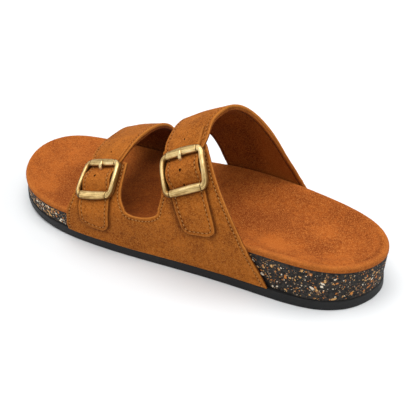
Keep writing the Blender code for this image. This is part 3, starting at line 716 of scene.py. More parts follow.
def treadDepth(station, sideways, reach):  # wavy grooves across the underside
    swingTo, long = outsole["treadWave"]
    (half, flank), (border, fade) = outsole["treadGroove"], outsole["treadBorder"]
    phase = (station + swingTo * np.sin(2.0 * np.pi * sideways / long)) / outsole["treadPitch"] % 1.0
    groove = ease((half - np.abs(phase - 0.5)) / flank)
    return outsole["treadDepth"] * groove * ease((border - reach) / fade)


def makeOutsole():
    roll, slope, bevel, perSide = (outsole[key] for key in ("roll", "slope", "bevel", "perSide"))
    foot = outsole["edge"] + slope
    edge, core, _ = flaredLoop(foot - roll, 1, perSide)
    loops = []
    for reach in np.linspace(0.0, 1.0, outsole["rings"] + 1):
        station, sideways = ringAt(core, edge, reach)
        loops.append(placed(station, sideways, toeLift(station) + treadDepth(station, sideways, reach)))
    for angle in quarterTurn(5):  # rounded lower edge
        edge, _, _ = flaredLoop(foot - roll * (1.0 - np.sin(angle)), 1, perSide)
        loops.append(placed(*edge.T, toeLift(edge[:, 0]) + roll * (1.0 - np.cos(angle))))
    for share in np.linspace(0.0, 1.0, 7)[1:]:  # plain band
        edge, _, _ = flaredLoop(foot - slope * share, 1, perSide)
        low, high = toeLift(edge[:, 0]) + roll, outsoleTop(edge[:, 0]) - bevel
        loops.append(placed(*edge.T, low + (high - low) * share))
    for angle in quarterTurn(3):  # softened upper edge
        edge, core, _ = flaredLoop(outsole["edge"] - bevel * (1.0 - np.cos(angle)), 1, perSide)
        loops.append(placed(*edge.T, outsoleTop(edge[:, 0]) - bevel * (1.0 - np.sin(angle))))
    for reach in (0.6, 0.0):
        station, sideways = ringAt(core, edge, reach)
        loops.append(placed(station, sideways, outsoleTop(station)))
    faces = loopFaces(len(loops), len(edge))
    piece = makePiece("outsoleRubber", np.concatenate(loops), faces, [blackRubber], weld=True)
    return settle(piece, "outsole", "outsole")


makeOutsole()


# midsole and its chips

midsole = {
    "edge": -0.8,
    "rimRoll": 0.9,
    "perSide": 420,
    "wallRows": 18,
    "footRings": (0.0, 0.6),
    "topRings": (0.985, 0.94, 0.87, 0.77, 0.65, 0.5, 0.28, 0.0),
    "chips": 3900,
    "chipCorners": 7,
    "chipSize": (0.23, 1.4),
    "chipTail": 1.7,
    "chipLong": (1.0, 2.0),
    "chipTones": (0.20, 0.36, 0.30, 0.14),
    "chipRagged": (0.5, 1.1, 1.3),  # least and most reach of a corner, slimmed by
    "chipWander": 0.35,  # of a corner's angle
    "chipLift": (0.05, 0.02, -0.15),  # face, rim, root
    "chipMargin": (0.01, 0.985),  # shares of the wall
    "chipClear": (0.9, 0.7),  # mm from the upper, and more for a large chip
    # where the upper lies on the wall: rear end at the foot, lean to the rim, front end
    "coveredOuter": (57.6, 15.0, 199.3),
    "coveredInner": (50.5, 12.5, 217.0),
    "innerWindow": (144.2, 22.5, 0.44, 18.0),  # middle, half width, share and height of the wall
    "shadeWidth": 2.5,
}


def midsoleWall(edge, inside, outward, share):  # a place on the wall, share 0 at the outsole to 1 at the rim
    flare = tableLine(shape["flare"], 2, edge[:, 0]) * (1.0 - share)
    spot = edge + outward * flare[:, None]
    low = seatHeight(spot[:, 0])
    high = midsoleTop(edge[:, 0], 1.0, inside) - midsole["rimRoll"]
    return placed(spot[:, 0], spot[:, 1], low + (high - low) * share)


def clearOfUpper(station, share, inside):  # mm from the upper's edge along the wall, negative under it
    gap = np.empty(len(station))
    for side, key in ((~inside, "coveredOuter"), (inside, "coveredInner")):
        rear, lean, front = midsole[key]
        gap[side] = np.maximum(rear + lean * share - station, station - front)[side]
    middle, half, deep, high = midsole["innerWindow"]
    window = high * (deep * np.sqrt(np.clip(1.0 - ((station - middle) / half) ** 2, 0.0, 1.0)) - 1.0 + share)
    return np.where(inside, np.maximum(gap, window), gap)


def makeMidsole():
    edge, core, inside = planLoop(midsole["edge"], midsole["perSide"])
    outward = outwardOf(edge)
    foot = midsoleWall(edge, inside, outward, np.zeros(len(edge)))[:, :2]
    foot = np.stack([shape["length"] / 2.0 - foot[:, 0], foot[:, 1]], axis=1)
    loops, shade = [], []
    for reach in midsole["footRings"]:
        station, sideways = ringAt(core, foot, reach)
        loops.append(placed(station, sideways, seatHeight(station)))
        shade.append(np.zeros(len(edge)))
    for share in np.linspace(0.0, 1.0, midsole["wallRows"] + 1):
        loops.append(midsoleWall(edge, inside, outward, np.full(len(edge), share)))
        shade.append(bell(np.maximum(clearOfUpper(edge[:, 0], share, inside), 0.0), midsole["shadeWidth"]))
    for reach in midsole["topRings"]:
        station, sideways = ringAt(core, edge, reach)
        loops.append(placed(station, sideways, midsoleTop(station, reach, inside)))
        shade.append(np.zeros(len(edge)))
    faces = loopFaces(len(loops), len(edge))
    masks = {"shade": np.concatenate(shade)}
    piece = makePiece("midsoleFoam", np.concatenate(loops), faces, [chipFoam], masks, weld=True)
    settle(piece, "midsole", "midsole")
    makeChips(edge, inside, outward)


def makeChips(edge, inside, outward):  # flakes of many sizes, flush in the foam's cut side
    run = runLength(np.vstack([edge, edge[:1]]))
    around = run[-1]
    count, corners = midsole["chips"], midsole["chipCorners"]
    at = rng.uniform(0.0, around, count)
    share = rng.uniform(0.0, 1.0, count)
    small, large = midsole["chipSize"]
    size = np.minimum(small * rng.uniform(0.0, 1.0, count) ** (-1.0 / midsole["chipTail"]), large)
    long = rng.uniform(*midsole["chipLong"], count)
    tilt = rng.uniform(0.0, np.pi, count)
    tone = rng.choice(len(chipTones), count, p=midsole["chipTones"])
    wander = midsole["chipWander"]
    angle = np.linspace(0.0, 2.0 * np.pi, corners, endpoint=False)
    angle = angle + rng.uniform(-wander, wander, (count, corners))
    least, most, slim = midsole["chipRagged"]
    radius = size[:, None] * rng.uniform(least, most, (count, corners)) / slim
    local = np.stack([np.cos(angle) * radius * long[:, None], np.sin(angle) * radius], axis=-1)
    middle = np.zeros((count, 1, 2))
    x, y = np.moveaxis(np.concatenate([middle, local, middle], axis=1), -1, 0)  # face, rim, root
    cosine, sine = np.cos(tilt)[:, None], np.sin(tilt)[:, None]

    def read(values, where):
        return np.interp(where % around, run, np.r_[values, values[:1]])

    station = read(edge[:, 0], at)
    onInner = read(inside.astype(float), at) > 0.5
    wallHeight = midsoleTop(station, 1.0, onInner) - midsole["rimRoll"] - seatHeight(station)
    where = at[:, None] + (x * cosine - y * sine)
    up = share[:, None] + (x * sine + y * cosine) / wallHeight[:, None]
    (lowest, highest), (gap, grown) = midsole["chipMargin"], midsole["chipClear"]
    clear = (up.min(axis=1) > lowest) & (up.max(axis=1) < highest)
    clear &= clearOfUpper(station, share, onInner) > gap + size * grown
    where, up, tone = where[clear], up[clear], tone[clear]
    flat = where.ravel()
    spot, out = (np.stack([read(column, flat) for column in values.T], axis=1) for values in (edge, outward))
    isInner = read(inside.astype(float), flat) > 0.5
    face, rim, root = midsole["chipLift"]
    lift = np.tile(np.r_[face, np.full(corners, rim), root], len(where))
    places = midsoleWall(spot + out * lift[:, None], isInner, out, up.ravel())
    kinds = np.repeat(tone, 2 * corners)
    piece = makePiece("midsoleChips", places, spindleFaces(len(where), corners), chipTones, faceKinds=kinds)
    settle(piece, "midsole")


makeMidsole()


# insole

insole = {
    "edge": -0.6,
    "underEdge": -0.8,
    "perSide": 240,
    "rimRound": 1.7,
    "underRings": (0.0, 0.28, 0.5, 0.65, 0.77, 0.87, 0.94),
    "underLip": 0.6,
    "underWear": 0.35,
    # the lip is strong round the heel on the outer side, and fades forwards and on the inner side
    "lip": (0.35, 2.6, 1.6),  # rise, place, width
    "lipFade": (92.0, 50.0, 26.0),  # end and length on the outer side, end on the inner side
    "crease": (0.3, 6.0, 1.3),  # depth, place, width
    "creaseWander": (0.8, 0.19),  # swing, and how fast it goes with the station
    "creaseSwell": (0.6, 0.4, 0.23, 1.0),  # middle, swing, speed, start
    "creaseShade": 0.3,
    # pale bands: strength, place, width
    "rimWear": (0.4, 1.0, 1.6),
    "lipWear": (0.2, 3.2, 2.0),
    # mm in from the rim
    "steps": (0.0, 0.15, 0.4, 0.8, 1.3, 1.9, 2.5, 3.1, 3.8, 4.5, 5.1, 5.7, 6.3, 6.9, 7.6, 8.6, 10.0, 12.0,
              14.5, 17.0, 20.0, 23.0, 26.0, 29.0, 32.0, 35.0, 38.5),
    "halfWidth": 42.0,
    # painted shadow on the footbed under the straps: its strength, then the stations where it rises and where
    # it falls
    "stain": 0.7,
    "stained": ((126.0, 148.0), (184.0, 204.0)),
    # brushed clouds in the nap, with a painted shadow of the rear strap at station 82: station, place across,
    # radius, depth (below 0 it is pale)
    "clouds": (
        (223.0, 0.0, 9.0, 0.6),
        (220.0, -19.0, 8.0, 0.7),
        (211.0, -30.0, 9.0, 0.7),
        (244.0, -5.0, 7.0, -0.7),
        (241.0, 11.0, 7.0, -0.4),
        (233.0, -26.0, 8.0, -0.4),
        (256.0, -11.0, 6.0, 0.3),
        (55.0, 6.0, 34.0, 0.38),
        (35.0, -10.0, 6.0, 0.5),
        (82.0, -6.0, 9.0, 0.6),
        (22.0, 17.0, 10.0, 0.3),
        (36.0, 29.0, 8.0, 0.2),
        (71.0, 2.0, 6.0, 0.35),
        (60.0, -22.0, 8.0, -1.1),
        (66.0, -17.0, 7.0, -0.4),
        (47.0, -17.0, 7.0, -0.6),
        (40.0, 4.0, 7.0, -0.6),
        (23.0, -12.0, 9.0, -0.4),
        (70.0, 17.0, 7.0, -0.4),
    ),
}


def makeInsole():
    edge, core, inside = planLoop(insole["edge"], insole["perSide"])
    underEdge, underCore, _ = planLoop(insole["underEdge"], insole["perSide"])
    loops, masks = [], {"edge": [], "seam": [], "stain": [], "cloud": []}
    (rear, rearFull), (frontFull, front) = insole["stained"]

    def keep(places, pale, dark):
        loops.append(places)
        station = shape["length"] / 2.0 - places[:, 0]
        stained = ease((station - rear) / (rearFull - rear)) * ease((front - station) / (front - frontFull))
        cloud = sum(depth * bell(np.hypot(station - at, places[:, 1] - across), radius)
                    for at, across, radius, depth in insole["clouds"])
        values = {"edge": pale, "seam": dark, "stain": insole["stain"] * stained, "cloud": cloud}
        for key, value in values.items():
            masks[key].append(np.broadcast_to(value, len(places)))

    for reach in insole["underRings"]:
        station, sideways = ringAt(underCore, underEdge, reach)
        keep(placed(station, sideways, midsoleTop(station, reach, inside) + shape["fitGap"]), 0.0, 0.0)
    at = edge[:, 0]
    rim = footbedHeight(at, 1.0, inside)
    for drop in (shape["insoleThick"] + insole["underLip"], shape["insoleThick"]):
        keep(placed(*edge.T, rim - drop), insole["underWear"], 0.0)
    fadeEnd, fadeLong, innerEnd = insole["lipFade"]
    lip = ease((fadeEnd - at) / fadeLong) * np.where(inside, ease((innerEnd - at) / innerEnd), 1.0)
    (lipRise, lipAt, lipWidth), (depth, creaseAt, creaseWidth) = insole["lip"], insole["crease"]
    wanderTo, wanderSpeed = insole["creaseWander"]
    middle, swellTo, swellSpeed, start = insole["creaseSwell"]
    (rimPale, rimAt, rimWide), (lipPale, paleAt, paleWide) = insole["rimWear"], insole["lipWear"]
    roundRadius = insole["rimRound"]
    for step in insole["steps"]:
        reach = 1.0 - step / insole["halfWidth"]
        station, sideways = ringAt(core, edge, reach)
        inner = np.clip(roundRadius - step, 0.0, roundRadius)
        height = footbedHeight(station, reach, inside) - roundRadius + np.sqrt(roundRadius**2 - inner**2)
        height += lip * lipRise * bell(step - lipAt, lipWidth)
        wander = creaseAt + wanderTo * np.sin(wanderSpeed * at)
        swell = middle + swellTo * np.sin(swellSpeed * at + start)
        trough = lip * swell * bell(step - wander, creaseWidth)
        height -= depth * trough
        pale = rimPale * bell(step - rimAt, rimWide) + lipPale * lip * bell(step - paleAt, paleWide)
        keep(placed(station, sideways, height), pale, insole["creaseShade"] * trough)
    keep(placed(*core.T, footbedHeight(core[:, 0], 0.0, inside)), 0.0, 0.0)
    masks = {key: np.concatenate(values) for key, values in masks.items()}
    faces = loopFaces(len(loops), len(edge))
    piece = makePiece("insoleSuede", np.concatenate(loops), faces, [suedes["footbedSuede"]], masks, weld=True)
    return settle(piece, "insole", "insole")


makeInsole()


# upper: quarter with two tabs, and the straps that come over from the inner side

upper = {
    "quarterThick": 1.9,
    "tongueThick": 1.8,
    "strapThick": 2.3,
    "liningThick": 0.9,
    "liningInset": 0.12,
    # strength, then start and length by station and by turn
    # painted shadow under the front strap, painted light low on the rear one
    "liningDark": (0.7, 142.0, 16.0, 0.6, 0.3),
    "liningPale": (1.0, 106.0, -24.0, 1.0, 0.6),
    "liningPaleEdge": 0.3,
    "edgeRoll": 0.42,
    "quarterSeam": 2.25,
    "strapSeam": 2.25,
    "liningSeam": 1.9,
    "seamWidth": 0.5,
    "seamDepth": 0.2,
    "puff": (0.12, 0.5, 0.35),  # height, then place and width in shares of the seam's distance
    "underRoll": 0.7,
    "edgeWidth": 0.5,
    "jointShade": 0.3,
    "seamShade": (0.45, 0.7),  # on the suede, on the lining
    "edgeWear": (0.45, 0.4, 0.15),  # under the suede, over the lining, under the lining
    # pale cut edges, partly wear and partly painted highlight
    "shadeReach": 12.0,  # past the centre bar
    "rearShade": (1.5, 0.75),  # width and depth of the shade beside a tongue
    "frontShade": (3.0, 0.85),
    "barShade": (0.7, 0.85),
    "barInset": 0.2,
    "windowShade": (2.0, 1.1),
    "windowLine": (7.0, 1.04),  # half length, share across the strap
    "waves": (0.10, 0.05),
    "waveFrom": (0.62, 0.2),  # turn where the straps come free, and its length
    "stepDown": (0.64, 1.0),
    "thickening": 0.3,
    "padding": 1.0,
    "liningPadding": 0.5,  # the lining's share
    "paddingStart": (0.72, 0.97),
    "paddingEnd": (1.50, 1.90),
    # mm in from an edge, where the columns of a panel lie close
    "edgeSteps": (0.0, 0.06, 0.16, 0.3, 0.5, 0.85, 1.25, 1.65, 2.0, 2.3, 2.6, 2.95, 3.4, 4.2),
    "columns": 42,
    "rowStep": 0.7,
    "weldGrid": (500.0, 20000.0),  # cells to a mm and to a turn, where patches meet
    "weldShift": 0.17,
    # the two fields of the quarter and the inner side: mm to a turn, mm high, rows, columns round the cut-out
    "quarterField": (60.0, 34.0, 40, 56),
    "innerField": (27.0, 15.0, 20, 44),
    "tabField": (44.0, 34),  # mm wide, columns
    # turn, front edge, rear edge
    "quarterEdges": (
        (-1.0, 199.0, 57.6),
        (-0.5, 199.3, 64.8),
        (-0.12, 198.3, 70.6),
        (0.0, 197.8, 72.6),
        (0.06, 197.3, 75.2),
        (0.16, 196.3, 80.5),
        (0.36, 195.3, 92.1),
        (0.60, 194.5, 105.0),
        (0.70, 194.2, 110.5),
    ),
    # turn, rear edge of the front tab, front edge of the rear tab
    "cutoutEdges": (
        (0.16, 152.3, 128.5),
        (0.28, 156.8, 127.2),
        (0.44, 159.3, 130.5),
        (0.62, 162.5, 135.0),
        (0.70, 164.2, 137.2),
    ),
    "cutoutCorner": 0.16,
    "cutoutBottom": 0.078,
    "frontTab": (0.62, 0.02),  # turn in the middle of its top, fall to the corners
    "rearTab": (0.68, 0.05),
    "tabCurve": 3.5,
    "innerFrontBase": 217.0,
    "innerRearBase": 50.5,
    "innerCutoutBottom": 2.46,
    # tip first: station and turn of the front edge, station and turn of the rear edge
    "frontStrap": (
        (178.3, -0.345, 168.5, -0.415),
        (182.8, -0.22, 165.4, -0.31),
        (184.9, -0.03, 163.5, -0.09),
        (186.6, 0.15, 163.4, 0.17),
        (187.2, 0.30, 164.6, 0.31),
        (187.5, 0.43, 165.9, 0.435),
        (189.0, 0.55, 167.0, 0.55),
        (193.5, 0.67, 165.5, 0.65),
        (197.5, 0.87, 165.0, 0.87),
        (199.5, 1.10, 165.2, 1.10),
        (205.0, 1.50, 165.6, 1.50),
        (213.5, 2.00, 166.7, 2.00),
        (214.8, 2.25, 167.0, 2.25),
    ),
    "rearStrap": (
        (106.0, -0.025, 93.2, 0.012),
        (109.8, 0.012, 90.8, 0.036),
        (112.0, 0.058, 90.4, 0.078),
        (114.8, 0.14, 93.2, 0.175),
        (118.6, 0.255, 98.5, 0.315),
        (122.5, 0.37, 102.6, 0.43),
        (128.1, 0.52, 106.8, 0.56),
        (132.8, 0.62, 106.0, 0.65),
        (136.0, 0.79, 107.8, 0.79),
        (138.6, 1.00, 106.2, 1.00),
        (138.6, 1.30, 96.3, 1.30),
        (134.0, 1.60, 84.2, 1.60),
        (129.6, 1.80, 76.6, 1.80),
        (128.4, 1.85, 74.3, 1.85),
        (127.2, 1.90, 72.05, 1.90),
        (125.5, 1.95, 69.8, 1.95),
        (123.8, 2.00, 67.5, 2.00),
        (121.3, 2.25, 63.0, 2.25),
    ),
    "holeSides": 14,
    "holeRises": (2.3, 9.0),
    # station, turn and radius of each punched hole
    "holes": (
        (179.5, 0.718, 0.55),
        (178.5, 0.456, 0.8),
        (121.3, 0.681, 0.55),
        (121.7, 0.745, 0.28),
        (114.8, 0.439, 0.9),
        (111.7, 0.343, 0.7),
    ),
    # folds and slits: stations and turns, half width, depth, darkness of the painted shade in a slit (below 0
    # it is pale, a painted highlight on a raised ridge)
    "creases": (
        (((167.8, 0.60), (167.1, 0.65), (166.8, 0.71), (166.6, 0.775)), 0.4, 0.6, 0.95),
        (((169.0, 0.62), (168.0, 0.70), (167.7, 0.77)), 0.5, -0.2, -0.8),
        (((108.6, 0.60), (109.5, 0.667), (110.2, 0.710), (111.1, 0.765)), 0.35, 0.5, 0.9),
        (((110.0, 0.60), (110.5, 0.66), (111.1, 0.70), (112.0, 0.76)), 0.6, -0.25, -0.9),
        (((196.0, -0.25), (180.0, -0.62), (150.0, -0.55)), 5.0, 0.25, 0.0),
        (((141.0, 0.02), (136.0, -0.35), (120.0, -0.70)), 5.0, 0.22, 0.0),
        (((178.0, 1.02), (190.0, 1.25), (200.0, 1.45)), 4.0, 0.25, 0.0),
        (((112.0, 1.05), (122.0, 1.30), (126.0, 1.60)), 5.0, 0.3, 0.0),
    ),
}

buckle = {
    "front": (30.6, 0.4),  # centre bar's distance from the strap's tip, shift to the rear
    "rear": (37.6, -0.1),
    "windowWidth": 23.7,
    "windowHeight": 16.6,
    "sideBar": 3.0,
    "endBar": 3.6,
    "barBow": 0.9,
    "sideBow": 0.8,
    "windowBow": 0.4,
    "corner": 4.2,
    "windowCorner": 0.9,
    "thick": 3.0,
    "centreBar": 1.4,
    "hookThick": 0.5,
    "hump": (0.9, 8.6),
    "jointDepth": 0.3,
    "jointWidth": 0.55,
    # share from the window's edge to the outer edge, height under the frame's top, age of the brass
    "endProfile": ((0.0, 1.1, 0.2), (0.04, 0.75, -0.2), (0.13, 0.28, -0.5), (0.22, 0.06, -0.2),
                   (0.32, 0.0, 0.0), (0.55, 0.02, 0.1), (0.74, 0.1, 0.25), (0.86, 0.3, 0.55),
                   (0.94, 0.65, 0.9), (0.985, 1.1, 1.1), (1.0, 1.6, 1.1)),
    "sideProfile": ((0.0, 1.5, 0.6), (0.05, 1.05, 0.3), (0.14, 0.62, -0.2), (0.26, 0.26, -0.8),
                    (0.40, 0.06, -1.0), (0.52, 0.0, -0.8), (0.64, 0.05, -0.1), (0.77, 0.26, 0.5),
                    (0.88, 0.65, 0.9), (0.965, 1.15, 1.1), (1.0, 1.7, 1.2)),
    # painted shade makes the side bar nearer the toe duller, and a painted highlight makes the other one
    # cream
    "frontAge": 1.0,
    "rearAge": -1.1,
    "ageReach": 4.0,
    "creamEdge": (0.97, 0.12),  # share where the cream ends, and its fade
    "backAge": 0.8,
    "backCorners": (0.95, 0.05),
    "jointAge": 1.7,
    "cornerSteps": 9,
    "sideSteps": 26,
    "barRoot": 0.4,  # share of the frame's thickness
    "barBend": (1.0, 0.3),
    "barRings": 17,
    "barSides": 14,
}
barAxis = upper["quarterThick"] + shape["fitGap"] + buckle["centreBar"] / 2.0
hookRadius = buckle["centreBar"] / 2.0 + shape["fitGap"] + buckle["hookThick"] / 2.0
humpHeight = barAxis + hookRadius + buckle["hookThick"] / 2.0 + shape["fitGap"]
seatOnTab = upper["quarterThick"] - 0.2
frameLow = seatOnTab + upper["tongueThick"] + shape["fitGap"]
frameTop = frameLow + buckle["thick"]


def padding(turn):  # on the inner face of a strap
    (start, full), (fade, end) = upper["paddingStart"], upper["paddingEnd"]
    return upper["padding"] * (ease((turn - start) / (full - start)) - ease((turn - fade) / (end - fade)))


class Strap:  # measured in mm from the tip of its tongue
    def __init__(self, table, barAt, shift):
        self.table = np.array(table)
        middle = (self.table[:, :2] + self.table[:, 2:]) / 2.0
        self.knots = runLength(lastPlace(middle[:, 0], middle[:, 1]))
        self.length = self.knots[-1]
        self.barAt, self.shift = barAt, shift

    def spot(self, along, share):  # share 0 on the front edge, 1 on the rear edge
        along, share = np.broadcast_arrays(np.asarray(along, float), np.asarray(share, float))
        columns = [fairCurve(self.knots, self.table[:, number], along) for number in range(4)]
        frontStation, frontTurn, rearStation, rearTurn = columns
        return frontStation + (rearStation - frontStation) * share, frontTurn + (rearTurn - frontTurn) * share

    def width(self, along):
        ends = [lastPlace(*self.spot(along, share)) for share in (0.0, 1.0)]
        return np.linalg.norm(ends[1] - ends[0], axis=-1)

    def under(self, along, turn):
        start, end = upper["stepDown"]
        seat = seatOnTab * (1.0 - ease((turn - start) / (end - start)))
        near, far = buckle["hump"]
        hump = 1.0 - ease((np.abs(along - self.barAt) - near) / (far - near))
        return seat + (humpHeight - seatOnTab) * hump - padding(turn)

    def thick(self, turn):
        grown = ease((turn - upper["stepDown"][0]) / upper["thickening"])
        return upper["tongueThick"] + (upper["strapThick"] - upper["tongueThick"]) * grown + padding(turn)

    def place(self, along, across, rise):  # mm from the centre bar, mm from the buckle's middle
        along = np.asarray(along, float) + self.barAt
        share = 0.5 + (np.asarray(across, float) + self.shift) / self.width(along)
        station, turn = self.spot(along, share)
        return upperPlace(station, turn, np.broadcast_to(rise, station.shape))


straps = {
    "front": Strap(upper["frontStrap"], *buckle["front"]),
    "rear": Strap(upper["rearStrap"], *buckle["rear"]),
}


def columnShares(width, inset, middleCount):  # columns lie close along both edges
    steps = np.array(upper["edgeSteps"]) + inset
    near = steps / width
    middle = near[..., -1:] + (1.0 - 2.0 * near[..., -1:]) * np.linspace(0.0, 1.0, middleCount + 1)
    return np.concatenate([near[..., :-1], middle, 1.0 - near[..., -2::-1]], axis=-1)


def strapGrid(strap, inset):
    steps = np.array(upper["edgeSteps"]) + inset
    rest = np.linspace(steps[-1], strap.length, int(strap.length / upper["rowStep"]))
    along = np.r_[steps[:-1], rest][:, None]
    stations, turns = strap.spot(along, columnShares(strap.width(along), inset, upper["columns"]))
    low = strap.under(along, turns)
    return np.stack([stations, turns, low, low + strap.thick(turns)], axis=-1)


def halfRound(count):  # shares across and depths of a half-round bottom
    angle = np.linspace(0.0, np.pi, count + 1)
    return (1.0 - np.cos(angle)) / 2.0, np.sin(angle)


def grid(stations, turns, low, high):
    return np.stack(np.broadcast_arrays(stations, turns, low, high), axis=-1)


def strapPatches(inset):
    turnLong, high, rows, columns = upper["innerField"]
    front, rear = (strapGrid(straps[name], inset) for name in ("front", "rear"))
    frontRow, rearRow = front[-1, :, 0], rear[-1, :, 0]
    across, dip = halfRound(columns)
    top = np.r_[frontRow[:-1], frontRow[-1] + (rearRow[0] - frontRow[-1]) * across, rearRow[1:]]
    start = upper["frontStrap"][-1][1]
    level = np.zeros(len(frontRow) - 1)
    topTurn = start + np.r_[level, dip, level] * (upper["innerCutoutBottom"] + inset / turnLong - start)
    share = (top - top[0]) / (top[-1] - top[0])
    frontBase, rearBase = upper["innerFrontBase"], upper["innerRearBase"]
    base = frontBase - inset + (rearBase - frontBase + 2 * inset) * share
    steps = np.array(upper["edgeSteps"]) / high
    down = np.r_[steps[:-1], np.linspace(steps[-1], 1.0, rows)][:, None]
    turns = topTurn + (3.0 - topTurn) * down
    return [front, rear, grid(top + (base - top) * down, turns, 0.0, upper["strapThick"])]


def quarterPatches(inset):
    turnLong, high, rows, count = upper["quarterField"]
    corner, thick = upper["cutoutCorner"], upper["quarterThick"]
    edges, cutout = upper["quarterEdges"], upper["cutoutEdges"]

    def edgeAt(table, number, turn, outwards):
        return tableCurve(table, number, turn) + outwards * inset

    wide, tabColumns = upper["tabField"]
    shares = columnShares(np.array(wide), 0.0, tabColumns)
    frontEdge, rearEdge = edgeAt(edges, 1, corner, -1), edgeAt(edges, 2, corner, 1)
    frontCorner, rearCorner = edgeAt(cutout, 1, corner, 1), edgeAt(cutout, 2, corner, -1)
    across, dip = halfRound(count)
    top = np.r_[
        (frontEdge + (frontCorner - frontEdge) * shares)[:-1],
        frontCorner + (rearCorner - frontCorner) * across,
        (rearCorner + (rearEdge - rearCorner) * shares)[1:],
    ]
    level = np.zeros(len(shares) - 1)
    depth = np.r_[level, dip, level] * (corner - upper["cutoutBottom"] + inset / turnLong)
    columns = (top - frontEdge) / (rearEdge - frontEdge)
    steps = np.array(upper["edgeSteps"]) / high
    climb = np.r_[np.linspace(0.0, 1.0 - steps[-1], rows), (1.0 - steps)[-2::-1]][:, None]
    turns = -1.0 + climb * (1.0 + corner - depth)
    fronts, rears = edgeAt(edges, 1, turns, -1), edgeAt(edges, 2, turns, 1)
    patches = [grid(fronts + (rears - fronts) * columns, turns, 0.0, thick)]
    side = shares * 2.0 - 1.0
    tabs = (("frontTab", (edges, 1, -1), (cutout, 1, 1)), ("rearTab", (cutout, 2, -1), (edges, 2, 1)))
    for key, *ends in tabs:
        middle, fall = upper[key]
        top = middle - fall * np.abs(side) ** upper["tabCurve"] - inset / turnLong
        turns = corner + climb * (top - corner)
        front, rear = (edgeAt(table, number, turns, outwards) for table, number, outwards in ends)
        patches.append(grid(front + (rear - front) * shares, turns, 0.0, thick))
    return patches


def nearest(points, targets):  # distance from each point to the closest target
    tree = KDTree(len(targets))
    for number, target in enumerate(targets):
        tree.insert(target, number)
    tree.balance()
    return np.array([tree.find(point)[2] for point in points])


def joinPatches(patches):  # one panel from its patches, welded where they meet
    spots, quads, start = [], [], 0
    for patch in patches:
        rows, columns = patch.shape[:2]
        number = start + np.arange(rows * columns).reshape(rows, columns)
        corners = [number[:-1, :-1], number[:-1, 1:], number[1:, 1:], number[1:, :-1]]
        quads.append(np.stack(corners, axis=-1).reshape(-1, 4))
        spots.append(patch.reshape(-1, 4))
        start += rows * columns
    spots, quads = np.concatenate(spots), np.concatenate(quads)
    keys = np.round(spots[:, :2] * upper["weldGrid"] + upper["weldShift"]).astype(int)
    _, first, back = np.unique(keys, axis=0, return_index=True, return_inverse=True)
    spots, quads = spots[first], back.reshape(-1)[quads]
    runs = np.stack([quads, np.roll(quads, -1, axis=1)], axis=-1).reshape(-1, 2)
    names = runs[:, 0] * len(spots) + runs[:, 1]
    backwards = runs[:, 1] * len(spots) + runs[:, 0]
    openEdges = runs[~np.isin(names, backwards)]
    station, turn, low, high = spots.T
    places = upperPlace(station, turn, (low + high) / 2.0)
    panel = {"station": station, "turn": turn, "low": low, "high": high}
    panel["quads"], panel["openEdges"] = quads, openEdges
    ends, edgeTurn = places[openEdges], turn[openEdges].mean(axis=1)
    sewn = ends[(edgeTurn > -0.99) & (edgeTurn < 2.99)]  # not where the upper goes under the sole's edge
    for key, rims in (("edgeGap", ends), ("seamGap", sewn)):
        panel[key] = nearest(places, np.concatenate([rims[:, 0], rims.mean(axis=1)]))
    return panel


def polyline(points, spacing=0.4):
    points = np.array(points)
    knots = runLength(lastPlace(*points.T))
    at = np.arange(0.0, knots[-1], spacing)
    return np.stack([fairCurve(knots, points[:, axis], at) for axis in (0, 1)], axis=1)


def creaseRelief(panel):
    # folds sink the surface; slits get painted shade, raised ridges a painted highlight
    sunk, dark, pale = np.zeros((3, len(panel["station"])))
    ground = lastPlace(panel["station"], panel["turn"])
    for points, width, depth, darkness in upper["creases"]:
        mark = bell(nearest(ground, lastPlace(*polyline(points).T)), width)
        sunk += depth * mark
        dark, pale = np.maximum(dark, darkness * mark), np.maximum(pale, -darkness * mark)
    return sunk, dark, pale


def shadeAlong(panel, lines):  # lines of places, each with the width and depth of its shade
    shade = np.zeros(len(panel["station"]))
    ground = lastPlace(panel["station"], panel["turn"])
    for line, (width, depth) in lines:
        shade = np.maximum(shade, depth * bell(nearest(ground, line), width))
    return shade


def tongueShade(panel):  # the quarter is dark beside the tongues, most at their rear edges
    half, share = upper["windowLine"]
    lines = []
    for strap in straps.values():
        along = np.arange(0.0, strap.barAt + upper["shadeReach"], 0.4)
        window = strap.barAt + np.arange(-half, half + 0.1, 0.5)
        tip = np.linspace(0.0, 1.0, 40)
        for run, across, key in ((along, 1.0, "rearShade"), (along, 0.0, "frontShade"),
                                 (0.0, tip, "frontShade"), (window, share, "windowShade")):
            lines.append((lastPlace(*strap.spot(run, across)), upper[key]))
    return shadeAlong(panel, lines)


def barShade(panel):  # the straps are dark along the edges of the buckles' end bars
    across = np.linspace(0.0, 1.0, 60)
    half, inset = buckle["windowHeight"] / 2.0, upper["barInset"]
    outer = -half - buckle["endBar"] - buckle["barBow"] * (1.0 - (2.0 * across - 1.0) ** 2)
    lines = [(lastPlace(*strap.spot(strap.barAt + at, across)), upper["barShade"])
             for strap in straps.values() for at in (half - inset, inset - half, outer)]
    return shadeAlong(panel, lines)


def gentleWaves(station, turn):  # a hand-cut, worked-over surface is never dead flat
    first = np.sin(station * 0.11 + turn * 5.0) * np.sin(turn * 7.0 - station * 0.05)
    second = np.sin(station * 0.23 - turn * 9.0 + 1.3)
    high, low = upper["waves"]
    return high * first + low * second


def liningPatch(key, station, turn):
    strength, fromStation, stationLong, fromTurn, turnLong = upper[key]
    patch = strength * ease((station - fromStation) / stationLong) * ease((turn - fromTurn) / turnLong)
    return np.r_[patch, patch]


